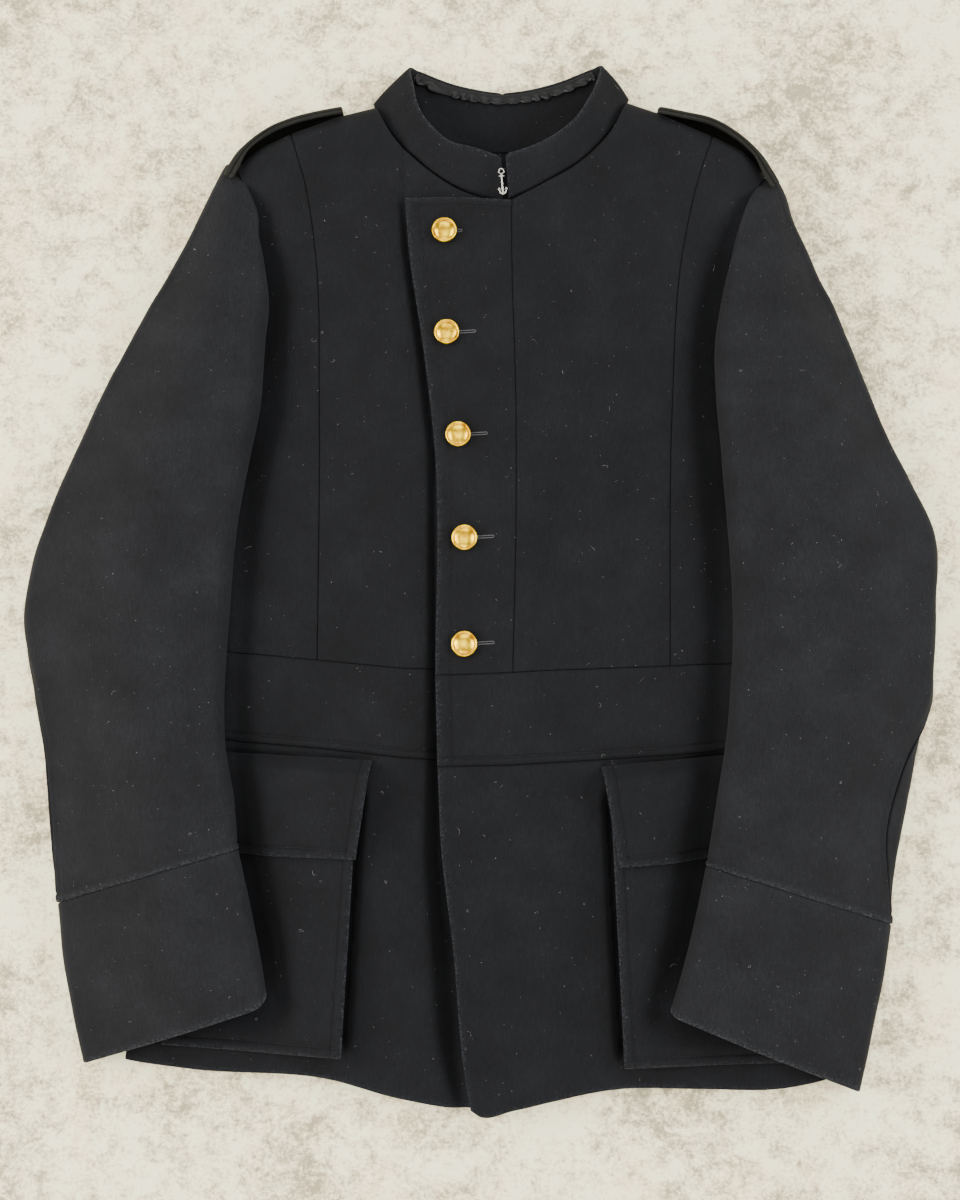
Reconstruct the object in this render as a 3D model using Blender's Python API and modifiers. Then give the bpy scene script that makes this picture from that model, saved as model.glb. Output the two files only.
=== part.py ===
"""Officer jacket laid flat on its back, sleeves down its sides, left front lapped over right.

Every cloth piece is a thin wall on a smooth surface: a plan outline in millimetres gives where the
piece lies, and the height functions say how far the layers under it lift it off the ground.
"Right" and "left" are the wearer's, so the right front is at -X. +Y runs towards the collar.
"""
import math

import bmesh
import bpy
import numpy as np

MM = 0.001
NAME = "officer_jacket"

# ---------------------------------------------------------------- driving sizes, mm
CLOTH = 2.5            # melton and its lining together
SEAM_GAP = 0.3         # between two pieces at a seam
FOLD_GAP = 0.5         # front and back each stop this far from the middle of the side seam
SIDE_MIDDLE = 9.0      # height of the side seam, where the front rolls over into the back
SIDE_ROLL = 24.0       # how far in from the side the front is still rolling over
BACK_ROLL = 14.0       # the same for the back, which is tighter
SHOULDER_MIDDLE = 16.0 # height of the shoulder seam
SHOULDER_ROLL = 20.0
SHOULDER_SLANT = 0.85  # the shoulder line's mean slant makes a distance along Y this much shorter
LAP_LIFT = 5.5         # how far the over front lies above the under front
LAP_FADES = (20.0, 90.0)
UNDERLAP_X = 45.0      # hidden edge of the under front
BAND_PROUD = 0.8       # the waistband is one layer thicker
BUTTON_DIAMETER = 20.0
RAMP = 46.0            # a sleeve comes down from the body to the ground over this distance
CREST = 0.38           # share of a sleeve's width where its top is highest
EDGE_ROUND = 0.45      # a sleeve's edge is rounded over this share of its height
BEND_WEIGHT = 12.0     # mm of length that one radian of bend counts for when a sleeve is sampled

# Body, from the hem up: where its side seams lie and how high its front lies.
BODY_COLUMNS = ("y", "right", "left", "middle", "side")
BODY = (
    (-386, -270, 262, 16, 15),
    (-345, -267, 258, 17, 15),
    (-300, -258, 252, 19, 15.5),
    (-240, -246, 243, 20, 15),
    (-180, -233, 235, 22, 17),
    (-110, -220, 226, 24, 19),
    (-46, -213, 222, 25, 19),
    (60, -222, 233, 24, 18),
    (120, -233, 244, 24, 18),
    (190, -246, 258, 25, 20),
    (250, -250, 262, 27, 25),
    (300, -252, 264, 29, 30),
    (345, -254, 266, 31, 34),
    (420, -256, 268, 32, 34),
)

# Shoulder line from the neck point out to the sleeve head.
SHOULDER = {
    "right": ((-84, 400), (-112, 392.5), (-152, 377.5), (-174, 366), (-193.5, 346.5)),
    "left": ((118, 404), (143, 395), (186, 375), (209, 364), (227, 340)),
}

# Seams and edges in plan, from the waist seam up.
WAIST_SEAM = ((-213, -40), (-125, -48), (-60, -53), (25, -54), (146, -50), (222, -46))
BAND_FOOT = ((-220, -105), (-125, -114), (-60, -120), (25, -125), (146, -118), (226, -110))
BACK_WAIST_SEAM = (WAIST_SEAM[0], WAIST_SEAM[-1])
BACK_BAND_FOOT = (BAND_FOOT[0], BAND_FOOT[-1])
PRINCESS = {
    "right": ((-125, -48), (-126, 157), (-130, 278), (-138, 330), (-152, 377.5)),
    "left": ((146, -50), (151, 157), (160, 278), (172, 333), (186, 375)),
}
UNDERARM_Y = 190
ARMHOLE = {
    "right": ((-246, 190), (-210, 204), (-184, 228), (-173, 262), (-173, 295), (-179, 320), (-193.5, 346.5)),
    "left": ((258, 190), (224, 203), (200, 228), (197, 262), (203, 295), (212, 320), (227, 340)),
}
BACK_ARMHOLE = {
    "right": ((-246, 190), (-218, 210), (-202, 245), (-192, 290), (-193.5, 346.5)),
    "left": ((258, 190), (232, 210), (220, 245), (218, 290), (227, 340)),
}
NECK = {
    "right": ((18, 316), (-16, 327), (-46, 347), (-70, 372), (-84, 400)),
    "left": ((25, 317), (50, 331), (80, 350), (104, 375), (118, 404)),
}
BACK_NECK = ((-84, 400), (-77, 389.5), (-55, 375.5), (-16, 367.2), (18, 366.6), (52, 368), (90, 377.8),
             (110, 390.5), (118, 404))
NECK_COLUMNS = (0.35, 0.42, 0.47, 0.53, 0.58, 0.65)    # fractions across that follow the neck
LAP_EDGE = ((-34, -53.3), (-35, 117), (-44, 196), (-56, 277), (-59, 318))
LAP_TOP = ((-59, 318), (-20, 319), (25, 317))
PLACKET_SEAM = ((25, -54), (28, 77), (28, 156), (25, 277), (25, 317))
SKIRT_LAP_EDGE = ((-7, -380), (-12, -350), (-20, -262), (-29, -189), (-32, -121.7))
HEM_CORNER_Y = {"right": -345, "left": -360}      # where each front hem meets its side seam
HEM = {
    "right": ((-211, -352), (-113, -359), (-60, -373), (-13, -380), (45, -374)),
    "left": ((-7, -380), (0, -384.5), (25, -380.5), (52, -375), (105, -366), (165, -366), (224, -366)),
}
BACK_HEM = ((-110, -352), (0, -366), (110, -360))
BACK_HEM_SHORTER = 5   # the back stops this far short of the front hem

# Stand collar, as sections from the right front end round the back to the left front end.
# Each row: x, y and height at the neck seam, then x, y and height at the top edge.
COLLAR = (
    (18.5, 317, 29, 17, 352.5, 35),
    (-4, 323, 29, -3, 358.5, 37),
    (-30, 336, 29, -24, 364, 38),
    (-52, 353, 28, -40, 378, 38),
    (-70, 373, 26, -50, 396, 35),
    (-81, 391, 22, -54, 416, 29),
    (-87, 403, 15, -57, 434, 20),
    (-80, 396, 6, -52, 436, 10),
    (-55, 378, 2, -28, 427, 7),
    (-16, 369, 1, -2, 420.5, 6),
    (18, 368, 1, 18, 418, 6),
    (52, 370, 1, 40, 420.5, 6),
    (90, 380, 2, 68, 428, 7),
    (115, 398, 6, 92, 437, 10),
    (121, 407, 15, 98, 435, 20),
    (115, 394, 22, 93, 416, 29),
    (104, 376, 27, 85, 398, 36),
    (84, 354, 31, 73, 380, 39),
    (60, 338, 33, 53, 365, 40),
    (40, 326, 34, 36, 357.5, 40),
    (22.5, 318, 34, 20, 353.5, 38),
)
COLLAR_WALL = 3.0
SATIN_SECTIONS = (7, 13)       # the gathered lining runs over these sections of the collar
SATIN_FOOT = 0.80              # between these shares of the collar's height
SATIN_HEAD = 0.94
SATIN_WALL = 1.2
SATIN_GAP = 0.5

# Sleeves, as sections across the arm from the inner edge (towards the body) to the outer edge.
# tuck: the front seam lies this far back under the inner edge; back: where the under layer ends;
# rest, fold, crown, brim: heights of the layer under the inner edge, of the inner edge's top,
# of the middle and of the outer edge; lift: height of the outer edge's underside;
# seam: distance of the elbow seam in from the outer edge (below zero it lies underneath).
SLEEVE_COLUMNS = ("inner_x", "inner_y", "outer_x", "outer_y", "tuck", "back",
                  "rest", "fold", "crown", "brim", "lift", "seam")
SLEEVE = {
    "right": (
        (-194.3, 347.1, -202.5, 353, 0, 2.5, 16, 16, 19, 20, 12, -3),
        (-188, 336, -211, 335, 0, 3, 27, 27, 31, 26, 3, -5),
        (-180, 320, -223.5, 308.5, 0, 14, 32, 32, 37, 27, 0, -8),
        (-174.5, 305, -236, 281.5, 0, 20, 32, 33, 40, 27, 0, -8),
        (-173.5, 288, -249.5, 257, 0, 24, 30, 32, 42, 26, 0, -8),
        (-167, 264, -265, 229, 9, 36, 29.5, 40, 45, 25, 0, -8),
        (-165, 236, -280, 199, 24, 52, 27.5, 41, 46, 24, 0, -8),
        (-168, 205, -295, 170, 82, 82, 22, 39, 46, 23, 0, -8),
        (-171, 151, -316, 121, 45, 45, 22, 39, 46, 22, 0, -8),
        (-179, 108, -333, 78, 25, 25, 22, 39, 46, 22, 0, -8),
        (-187, 57, -348, 30, 20, 20, 22, 39, 46, 22, 0, -8),
        (-189, -5, -353, -18, 20, 20, 22, 40, 46, 22, 0, -4),
        (-189, -63, -343, -68, 20, 20, 24, 41, 46, 22, 0, 5),
        (-186, -112, -333, -120, 20, 20, 31, 46, 49, 22, 0, 10),
        (-183, -150, -327, -180, 20, 20, 32, 47, 50, 22, 0, 12),
        (-181, -188, -320, -229, 20, 20, 31, 46, 48, 22, 0, 8),
    ),
    "left": (
        (227.8, 340.8, 235.5, 344, 0, 2.5, 16, 16, 19, 20, 12, -3),
        (221, 331, 244, 325, 0, 3, 27, 27, 31, 26, 3, -5),
        (213.5, 320, 249.5, 304, 0, 10, 32, 32, 37, 27, 0, -8),
        (206, 302, 259.5, 281, 0, 16, 32, 33, 40, 27, 0, -8),
        (201, 286, 268.5, 259, 0, 20, 30, 32, 42, 26, 0, -8),
        (194, 261, 281, 233, 9, 34, 29.5, 40, 45, 25, 0, -8),
        (188, 232, 292, 203, 24, 50, 27.5, 41, 46, 24, 0, -8),
        (184, 203, 304, 172, 79, 79, 22, 39, 46, 23, 0, -8),
        (184, 160, 322, 127, 45, 45, 22, 39, 46, 22, 0, -8),
        (187, 115, 338, 92, 25, 25, 22, 39, 46, 22, 0, -8),
        (190, 68, 354.5, 53, 20, 20, 22, 39, 46, 22, 0, -8),
        (193, 10, 354, 2, 20, 20, 22, 40, 46, 22, 0, -8),
        (193, -30, 351, -40, 20, 20, 23, 41, 46, 22, 0, -4),
        (190, -70, 346, -82, 20, 20, 25, 42, 47, 22, 0, 4),
        (184, -114, 332, -126, 20, 20, 31, 47, 50, 22, 0, 20),
        (177, -152, 321, -175, 20, 20, 32, 48, 51, 22, 0, 18),
        (168, -200, 311, -245, 20, 20, 31, 46, 48, 22, 0, 8),
    ),
}
CUFF = {
    "right": (
        (-181, -188.5, -319, -229.5, 20, 20, 31, 46, 48, 22, 0, 0),
        (-171, -228, -314, -272, 20, 20, 29, 44, 47, 22, 0, 0),
        (-163, -264, -306, -310, 20, 20, 28, 43, 45, 21, 0, 0),
        (-158, -301, -297, -347, 20, 20, 26, 41, 43, 20, 0, 0),
    ),
    "left": (
        (168, -200.5, 311, -245.5, 20, 20, 31, 46, 48, 22, 0, 0),
        (160, -238, 303, -288, 20, 20, 29, 44, 47, 22, 0, 0),
        (151, -272, 294, -326, 20, 20, 28, 43, 45, 21, 0, 0),
        (141, -307, 284, -368, 20, 20, 26, 41, 43, 20, 0, 0),
    ),
}

# Pockets and flaps in plan, corners in order: outer foot, inner foot, inner top, outer top.
POCKET = {
    "right": ((-238, -333), (-103, -342), (-92, -136), (-208, -132)),
    "left": ((236, -346), (107, -349), (98, -141), (214, -134)),
}
POCKET_RISE = (4.0, 12.0)      # at the outer side, pressed down by the sleeve, and at the inner side
POCKET_SIDE = 7.0              # how far in the pocket's side turns over into its face
POCKET_GAP = 0.5               # between the pocket and the skirt under it
FLAP = {
    "right": ((-216, -192), (-93, -196), (-82, -122), (-208, -115)),
    "left": ((218, -194), (104, -202), (92, -127), (218, -115)),
}
FLAP_SEAM = 3.4                # the flap's face lies this far above the skirt at its seam
FLAP_SEAT = 4.6                # and this far further than the pocket's rise where it lies on the pocket
FLAP_CLIMB = 12.0              # length over which the flap climbs from its seam to the pocket

# Shoulder straps: their outer top edge in plan, from the sleeve head to the collar.
EPAULETTE = {
    "right": ((-201.3, 336.8), (-195.3, 348.3), (-181, 365), (-166, 376), (-150, 383), (-131, 388.5),
              (-110, 392)),
    "left": ((234.8, 329.7), (226, 345.5), (214.5, 361), (201, 373), (184, 383), (163, 388.5), (142, 392)),
}
# The strap's outer and inner side in section: distance out from that edge, and height. It leans out
# over the ground, and its foot turns back under the shoulder.
STRAP_OUT = ((0, 37), (4.6, 27), (9, 17), (12.4, 8.5), (12.4, 3.8), (8.5, 0.8))
STRAP_IN = ((-4.4, 36), (0, 25.2), (4.2, 15.6), (7.2, 9.4), (7.2, 6.6), (5.6, 4.6))
STRAP_FOOT = (0.8, 4.6)        # heights of the turned foot's underside and top
STRAP_TUCK = (1.2, -4.5)       # how far out from the shoulder line it ends, beside the root and beyond
STRAP_ROOT = (8.0, 32.1)       # at the sleeve head only its top is left: width, and underside's height
STRAP_ROOT_LEAN = 2.6
STRAP_ROOT_SHARE = 0.35        # share of the strap's length over which it grows from its root

BUTTONS = ((-28, 291), (-26, 210), (-17, 129), (-12, 48), (-12, -34))
CLASP = (18.5, 330, 37.6)


# ---------------------------------------------------------------- small mathematics
def smooth(t):
    t = np.clip(t, 0.0, 1.0)
    return t * t * (3.0 - 2.0 * t)


def rolled(t):
    """Quarter ellipse from 0 to 1, upright at 0 and level at 1."""
    t = np.clip(t, 0.0, 1.0)
    return np.sqrt(1.0 - (1.0 - t) ** 2)


def follow(knots, values, at):
    """Smooth curve through one value (or point) at each knot."""
    knots = np.asarray(knots, float)
    values = np.asarray(values, float)
    at = np.clip(np.asarray(at, float), knots[0], knots[-1])
    slopes = np.gradient(values, knots, axis=0)
    k = np.clip(np.searchsorted(knots, at) - 1, 0, len(knots) - 2)
    span = knots[k + 1] - knots[k]
    t = (at - knots[k]) / span
    if values.ndim > 1:
        t = t[..., None]
        span = span[..., None]
    t2 = t * t
    t3 = t2 * t
    return (values[k] * (2 * t3 - 3 * t2 + 1) + values[k + 1] * (3 * t2 - 2 * t3)
            + span * (slopes[k] * (t3 - 2 * t2 + t) + slopes[k + 1] * (t3 - t2)))


def lengths_along(points):
    steps = np.linalg.norm(np.diff(np.asarray(points, float), axis=0), axis=1)
    return np.concatenate(([0.0], np.cumsum(steps)))


def along(runs, fractions):
    """Points at fractions of the way along runs of plan points, cornered where two runs meet."""
    sizes = [lengths_along(run)[-1] for run in runs]
    starts = np.concatenate(([0.0], np.cumsum(sizes)))
    at = np.asarray(fractions, float) * starts[-1]
    found = np.zeros((len(at), 2))
    for number, run in enumerate(runs):
        here = (at >= starts[number] - 1e-9) & (at <= starts[number + 1] + 1e-9)
        found[here] = follow(lengths_along(run), run, at[here] - starts[number])
    return found


def column(rows, names, name):
    return np.array([row[names.index(name)] for row in rows], float)


# ---------------------------------------------------------------- heights of the layers
def body_at(y, name):
    return follow(column(BODY, BODY_COLUMNS, "y"), column(BODY, BODY_COLUMNS, name), y)


def side_distance(x, y):
    """Distance in from the nearer side seam."""
    return np.minimum(x - body_at(y, "right"), body_at(y, "left") - x)


def shoulder_distance(x, y):
    """Distance down from the shoulder line, which runs straight over the open neck."""
    line = SHOULDER["right"][::-1] + SHOULDER["left"]
    xs = [point[0] for point in line]
    ys = [point[1] for point in line]
    return (np.interp(x, xs, ys) - y) * SHOULDER_SLANT


def front_height(x, y):
    """Height of the under front's face."""
    half = 0.5 * (body_at(y, "left") - body_at(y, "right"))
    off_centre = np.abs(x - 0.5 * (body_at(y, "left") + body_at(y, "right"))) / half
    middle = body_at(y, "middle")
    flat = middle + (body_at(y, "side") - middle) * smooth(off_centre)
    side = SIDE_MIDDLE + FOLD_GAP
    shoulder = SHOULDER_MIDDLE + FOLD_GAP
    body = side + (flat - side) * rolled(side_distance(x, y) / SIDE_ROLL)
    return shoulder + (body - shoulder) * rolled(shoulder_distance(x, y) / SHOULDER_ROLL)


def over_height(x, y):
    """Height of the over front's face."""
    start, end = LAP_FADES
    return front_height(x, y) + LAP_LIFT * (1.0 - smooth((x - start) / (end - start)))


def back_height(x, y):
    """Height of the back's underside."""
    shoulder = SHOULDER_MIDDLE - FOLD_GAP
    body = (SIDE_MIDDLE - FOLD_GAP) * (1.0 - rolled(side_distance(x, y) / BACK_ROLL))
    return shoulder + (body - shoulder) * rolled(shoulder_distance(x, y) / SHOULDER_ROLL)


# ---------------------------------------------------------------- meshes
def make_object(name, mesh, material):
    made = bpy.data.objects.new(name, mesh)
    bpy.data.collections[NAME].objects.link(made)
    made.data.materials.clear()
    made.data.materials.append(material)
    return made


def wall(name, outer, inner, material, ring=False):
    """Closed cloth wall between two grids of points, mm. A ring joins its last column to its first."""
    rows, columns = outer.shape[:2]
    bm = bmesh.new()
    layers = []
    for grid in (outer, inner):
        layers.append([[bm.verts.new(point * MM) for point in row] for row in grid])
    top, under = layers
    turns = columns if ring else columns - 1
    for i in range(rows - 1):
        for j in range(turns):
            k = (j + 1) % columns
            bm.faces.new((top[i][j], top[i][k], top[i + 1][k], top[i + 1][j]))
            bm.faces.new((under[i][j], under[i + 1][j], under[i + 1][k], under[i][k]))
    for j in range(turns):
        k = (j + 1) % columns
        bm.faces.new((top[0][k], top[0][j], under[0][j], under[0][k]))
        bm.faces.new((top[-1][j], top[-1][k], under[-1][k], under[-1][j]))
    if not ring:
        for i in range(rows - 1):
            bm.faces.new((top[i][0], top[i + 1][0], under[i + 1][0], under[i][0]))
            bm.faces.new((top[i + 1][-1], top[i][-1], under[i][-1], under[i + 1][-1]))
    bmesh.ops.triangulate(bm, faces=bm.faces[:])
    bmesh.ops.recalc_face_normals(bm, faces=bm.faces[:])
    mesh = bpy.data.meshes.new(name)
    bm.to_mesh(mesh)
    bm.free()
    mesh.shade_smooth()
    return make_object(name, mesh, material)


def coons(foot, head, low_side, high_side, across):
    """Plan grid between a foot and a head edge and two side edges sampled at the same rows."""
    up = lengths_along(low_side)
    v = (up / up[-1])[:, None, None]
    u = np.asarray(across)[None, :, None]
    low = low_side[:, None, :]
    high = high_side[:, None, :]
    ruled_up = (1 - v) * foot[None] + v * head[None]
    ruled_across = (1 - u) * low + u * high
    corners = ((1 - v) * ((1 - u) * foot[0] + u * foot[-1]) + v * ((1 - u) * head[0] + u * head[-1]))
    return ruled_up + ruled_across - corners


def draw_in(plan, gap):
    """Pull the outline of a plan grid in by a gap, so that it clears its neighbours at the seams."""
    drawn = plan.copy()
    for edge, nextin in ((0, 1), (-1, -2)):
        step = plan[nextin] - plan[edge]
        drawn[edge] += gap * step / np.linalg.norm(step, axis=-1, keepdims=True)
    for edge, nextin in ((0, 1), (-1, -2)):
        step = plan[:, nextin] - plan[:, edge]
        drawn[:, edge] += gap * step / np.linalg.norm(step, axis=-1, keepdims=True)
    return drawn


def slopes_of(height, plan):
    """Upward unit normals of a height function at plan points."""
    probe = 0.05
    x = plan[..., 0]
    y = plan[..., 1]
    dx = (height(x + probe, y) - height(x - probe, y)) / (2 * probe)
    dy = (height(x, y + probe) - height(x, y - probe)) / (2 * probe)
    normal = np.stack((-dx, -dy, np.ones_like(dx)), axis=-1)
    return normal / np.linalg.norm(normal, axis=-1, keepdims=True)


def panel(name, plan, height, material, thickness=CLOTH, proud=0.0, upward=True, gap=0.5 * SEAM_GAP):
    """Cloth on a height function: its face is on the height, its wall goes to the body's inside."""
    drawn = draw_in(plan, gap)
    face = np.dstack((drawn, height(plan[..., 0], plan[..., 1])))
    normal = slopes_of(height, plan)
    if upward:
        face = face + proud * normal
        inside = face - thickness * normal
    else:
        face = face - proud * normal
        inside = face + thickness * normal
    return wall(name, face, inside, material)


# ---------------------------------------------------------------- body panels
def steps_from_side(width, count, from_low=True):
    """Fractions across a panel, close together where it rolls over at the side seam."""
    near = np.array([0.0, 1.2, 4.5, 11.0, SIDE_ROLL]) / width
    far = np.linspace(near[-1], 1.0, count)[1:]
    fractions = np.concatenate((near, far))
    return fractions if from_low else (1.0 - fractions)[::-1]


def side_seam(side, low_y, high_y, count):
    """Points up a side seam."""
    ys = np.linspace(low_y, high_y, count)
    return np.column_stack((body_at(ys, side), ys))


def bodice_edge(side, armhole):
    """Points up the side seam and on round the armhole, and how far up each one is."""
    low_y = WAIST_SEAM[0 if side == "right" else -1][1]
    seam = side_seam(side, low_y, UNDERARM_Y, 6)
    hole = along((armhole[side],), np.linspace(0, 1, 7))[1:]
    points = np.concatenate((seam, hole))
    return points, bodice_rows()


def bodice_rows():
    """Fractions up the seams between bodice panels, one for each row of the side edge."""
    return np.concatenate((np.linspace(0, 0.55, 6), np.linspace(0.55, 1, 7)[1:]))


def straights(line):
    """A broken line as separate straight runs."""
    return tuple(zip(line[:-1], line[1:]))


def with_corners(fractions, start, end, line):
    """Fractions from start to end in x, with one more at each corner of a broken seam line."""
    corners = [(x - start) / (end - start) for x, y in line if min(start, end) < x < max(start, end)]
    kept = [f for f in fractions if all(abs(f - corner) > 0.03 for corner in corners) or f in (0.0, 1.0)]
    return np.array(sorted(kept + corners))


def straight(start, end, fractions):
    t = np.asarray(fractions, float)[:, None]
    return np.asarray(start, float) * (1 - t) + np.asarray(end, float) * t


def on_line(line, xs):
    """Points of a broken line at given x."""
    xs = np.asarray(xs, float)
    return np.stack((xs, np.interp(xs, [p[0] for p in line], [p[1] for p in line])), axis=-1)


def front_sides(melton):
    for side in ("right", "left"):
        outer, rows = bodice_edge(side, ARMHOLE)
        inner = along((PRINCESS[side],), rows)
        width = abs(outer[0][0] - inner[0][0])
        across = steps_from_side(width, 4)
        foot = on_line(WAIST_SEAM, outer[0][0] + across * (inner[0][0] - outer[0][0]))
        head = along(straights(SHOULDER[side][:1:-1]), across)
        plan = coons(foot, head, outer, inner, across)
        if side == "left":
            plan = plan[:, ::-1]
        panel("front_" + side + "_side", plan, front_height, melton)


def front_right_centre(melton):
    rows = bodice_rows()
    low = along((PRINCESS["right"],), rows)
    top = (UNDERLAP_X, 313.0)
    high = straight(on_line(WAIST_SEAM, UNDERLAP_X), top, rows)
    across = with_corners(np.linspace(0, 1, 8), low[0][0], UNDERLAP_X, WAIST_SEAM)
    foot = on_line(WAIST_SEAM, low[0][0] + across * (UNDERLAP_X - low[0][0]))
    shoulder = straights(SHOULDER["right"][2::-1])
    head = along((*shoulder, NECK["right"][::-1], (NECK["right"][0], top)), across)
    panel("front_right_centre", coons(foot, head, low, high, across), front_height, melton)


def front_left_placket(melton):
    rows = bodice_rows()
    low = along((LAP_EDGE,), rows)
    high = along((PLACKET_SEAM,), rows)
    across = np.linspace(0, 1, 5)
    foot = on_line(WAIST_SEAM, low[0][0] + across * (high[0][0] - low[0][0]))
    head = along((LAP_TOP,), across)
    panel("front_left_placket", coons(foot, head, low, high, across), over_height, melton)


def front_left_centre(melton):
    rows = bodice_rows()
    low = along((PLACKET_SEAM,), rows)
    high = along((PRINCESS["left"],), rows)
    across = np.linspace(0, 1, 9)
    foot = on_line(WAIST_SEAM, low[0][0] + across * (high[0][0] - low[0][0]))
    head = along((NECK["left"], *straights(SHOULDER["left"][:3])), across)
    panel("front_left_centre", coons(foot, head, low, high, across), over_height, melton)


def band(name, low_edge, high_edge, across, height, material, proud, upward=True):
    """Waistband from the foot of the band up to the waist seam, between two side edges."""
    head_line, foot_line = (WAIST_SEAM, BAND_FOOT) if upward else (BACK_WAIST_SEAM, BACK_BAND_FOOT)
    head = on_line(head_line, low_edge[-1][0] + across * (high_edge[-1][0] - low_edge[-1][0]))
    foot = on_line(foot_line, low_edge[0][0] + across * (high_edge[0][0] - low_edge[0][0]))
    panel(name, coons(foot, head, low_edge, high_edge, across), height, material, proud=proud, upward=upward)


def waistbands(melton):
    rows = np.linspace(0, 1, 4)
    first = side_seam("right", BAND_FOOT[0][1], WAIST_SEAM[0][1], 4)
    last = side_seam("left", BAND_FOOT[-1][1], WAIST_SEAM[-1][1], 4)
    lap = straight(SKIRT_LAP_EDGE[-1], LAP_EDGE[0], rows)
    lap[0] = on_line(BAND_FOOT, lap[0][0])
    under = straight(on_line(BAND_FOOT, UNDERLAP_X), on_line(WAIST_SEAM, UNDERLAP_X), rows)
    across = steps_from_side(UNDERLAP_X - first[-1][0], 6)
    across = with_corners(across, first[-1][0], UNDERLAP_X, WAIST_SEAM)
    band("waistband_right", first, under, across, front_height, melton, BAND_PROUD)
    across = steps_from_side(last[-1][0] - lap[-1][0], 6, from_low=False)
    across = with_corners(across, lap[-1][0], last[-1][0], WAIST_SEAM)
    band("waistband_left", lap, last, across, over_height, melton, BAND_PROUD)
    band("back_waistband", first, last, back_steps(), back_height, melton, 0.0, upward=False)


def back_steps():
    """Fractions across the whole back, close together at both sides."""
    half = 0.5 * steps_from_side(0.5 * (WAIST_SEAM[-1][0] - WAIST_SEAM[0][0]), 4)
    return np.concatenate((half, 1.0 - half[-2::-1]))


def skirts(melton):
    outer = side_seam("right", HEM_CORNER_Y["right"], BAND_FOOT[0][1], 8)
    up = lengths_along(outer) / lengths_along(outer)[-1]
    across = with_corners(steps_from_side(300.0, 8), outer[-1][0], UNDERLAP_X, BAND_FOOT)
    foot = along(((tuple(outer[0]), *HEM["right"]),), across)
    head = on_line(BAND_FOOT, outer[-1][0] + across * (UNDERLAP_X - outer[-1][0]))
    inner = straight(foot[-1], head[-1], up)
    panel("skirt_right", coons(foot, head, outer, inner, across), front_height, melton)

    outer = side_seam("left", HEM_CORNER_Y["left"], BAND_FOOT[-1][1], 8)
    up = lengths_along(outer) / lengths_along(outer)[-1]
    across = steps_from_side(260.0, 8, from_low=False)
    across = with_corners(across, SKIRT_LAP_EDGE[-1][0], outer[-1][0], BAND_FOOT)
    foot = along(((*HEM["left"], tuple(outer[0])),), across)
    inner = along((SKIRT_LAP_EDGE,), up)
    head = on_line(BAND_FOOT, inner[-1][0] + across * (outer[-1][0] - inner[-1][0]))
    panel("skirt_left", coons(foot, head, inner, outer, across), over_height, melton)


def back_panels(melton):
    across = np.unique(np.concatenate((back_steps(), NECK_COLUMNS)))
    low, rows = bodice_edge("right", BACK_ARMHOLE)
    high, rows = bodice_edge("left", BACK_ARMHOLE)
    foot = on_line(BACK_WAIST_SEAM, low[0][0] + across * (high[0][0] - low[0][0]))
    head = along((*straights(SHOULDER["right"][::-1]), BACK_NECK, *straights(SHOULDER["left"])), across)
    panel("back_bodice", coons(foot, head, low, high, across), back_height, melton, upward=False)

    across = back_steps()
    low = side_seam("right", HEM_CORNER_Y["right"] + BACK_HEM_SHORTER, BAND_FOOT[0][1], 8)
    high = side_seam("left", HEM_CORNER_Y["left"] + BACK_HEM_SHORTER, BAND_FOOT[-1][1], 8)
    foot = along(((tuple(low[0]), *BACK_HEM, tuple(high[0])),), across)
    head = on_line(BACK_BAND_FOOT, low[-1][0] + across * (high[-1][0] - low[-1][0]))
    panel("back_skirt", coons(foot, head, low, high, across), back_height, melton, upward=False)


# ---------------------------------------------------------------- pockets and flaps
def patch_grid(corners, across, up):
    outer_foot, inner_foot, inner_top, outer_top = (np.asarray(c, float) for c in corners)
    u = np.asarray(across)[None, :, None]
    v = np.asarray(up)[:, None, None]
    foot = outer_foot * (1 - u) + inner_foot * u
    top = outer_top * (1 - u) + inner_top * u
    return foot * (1 - v) + top * v


def pocket_rise(across):
    """How far a pocket stands up, at fractions from its outer to its inner side."""
    low, high = POCKET_RISE
    return (low + (high - low) * smooth(across * 1.3 - 0.3))[None, :]


def pockets(melton):
    for side in ("right", "left"):
        height = front_height if side == "right" else over_height
        corners = POCKET[side]
        width = abs(corners[1][0] - corners[0][0])
        tall = abs(corners[3][1] - corners[0][1])
        turn = np.array([0.0, 0.8, 3.0, POCKET_SIDE])
        across = np.concatenate((turn / width, [0.35, 0.65], 1.0 - turn[::-1] / width))
        up = np.concatenate((turn / tall, np.linspace(POCKET_SIDE / tall, 1, 5)[1:]))
        plan = patch_grid(corners, across, up)
        from_edge = np.minimum.outer(up * tall, np.minimum(across, 1 - across) * width)
        lift = POCKET_GAP + pocket_rise(across) * rolled(from_edge / POCKET_SIDE)
        ground = height(plan[..., 0], plan[..., 1])
        face = np.dstack((plan, ground + lift))
        inward_plan = patch_grid(corners, CLOTH / width + across * (1 - 2 * CLOTH / width),
                                 CLOTH / tall + up * (1 - CLOTH / tall))
        inside = np.dstack((inward_plan, ground + np.maximum(lift - CLOTH, POCKET_GAP)))
        if side == "left":
            face = face[:, ::-1]
            inside = inside[:, ::-1]
        wall("pocket_" + side, face, inside, melton)


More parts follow.
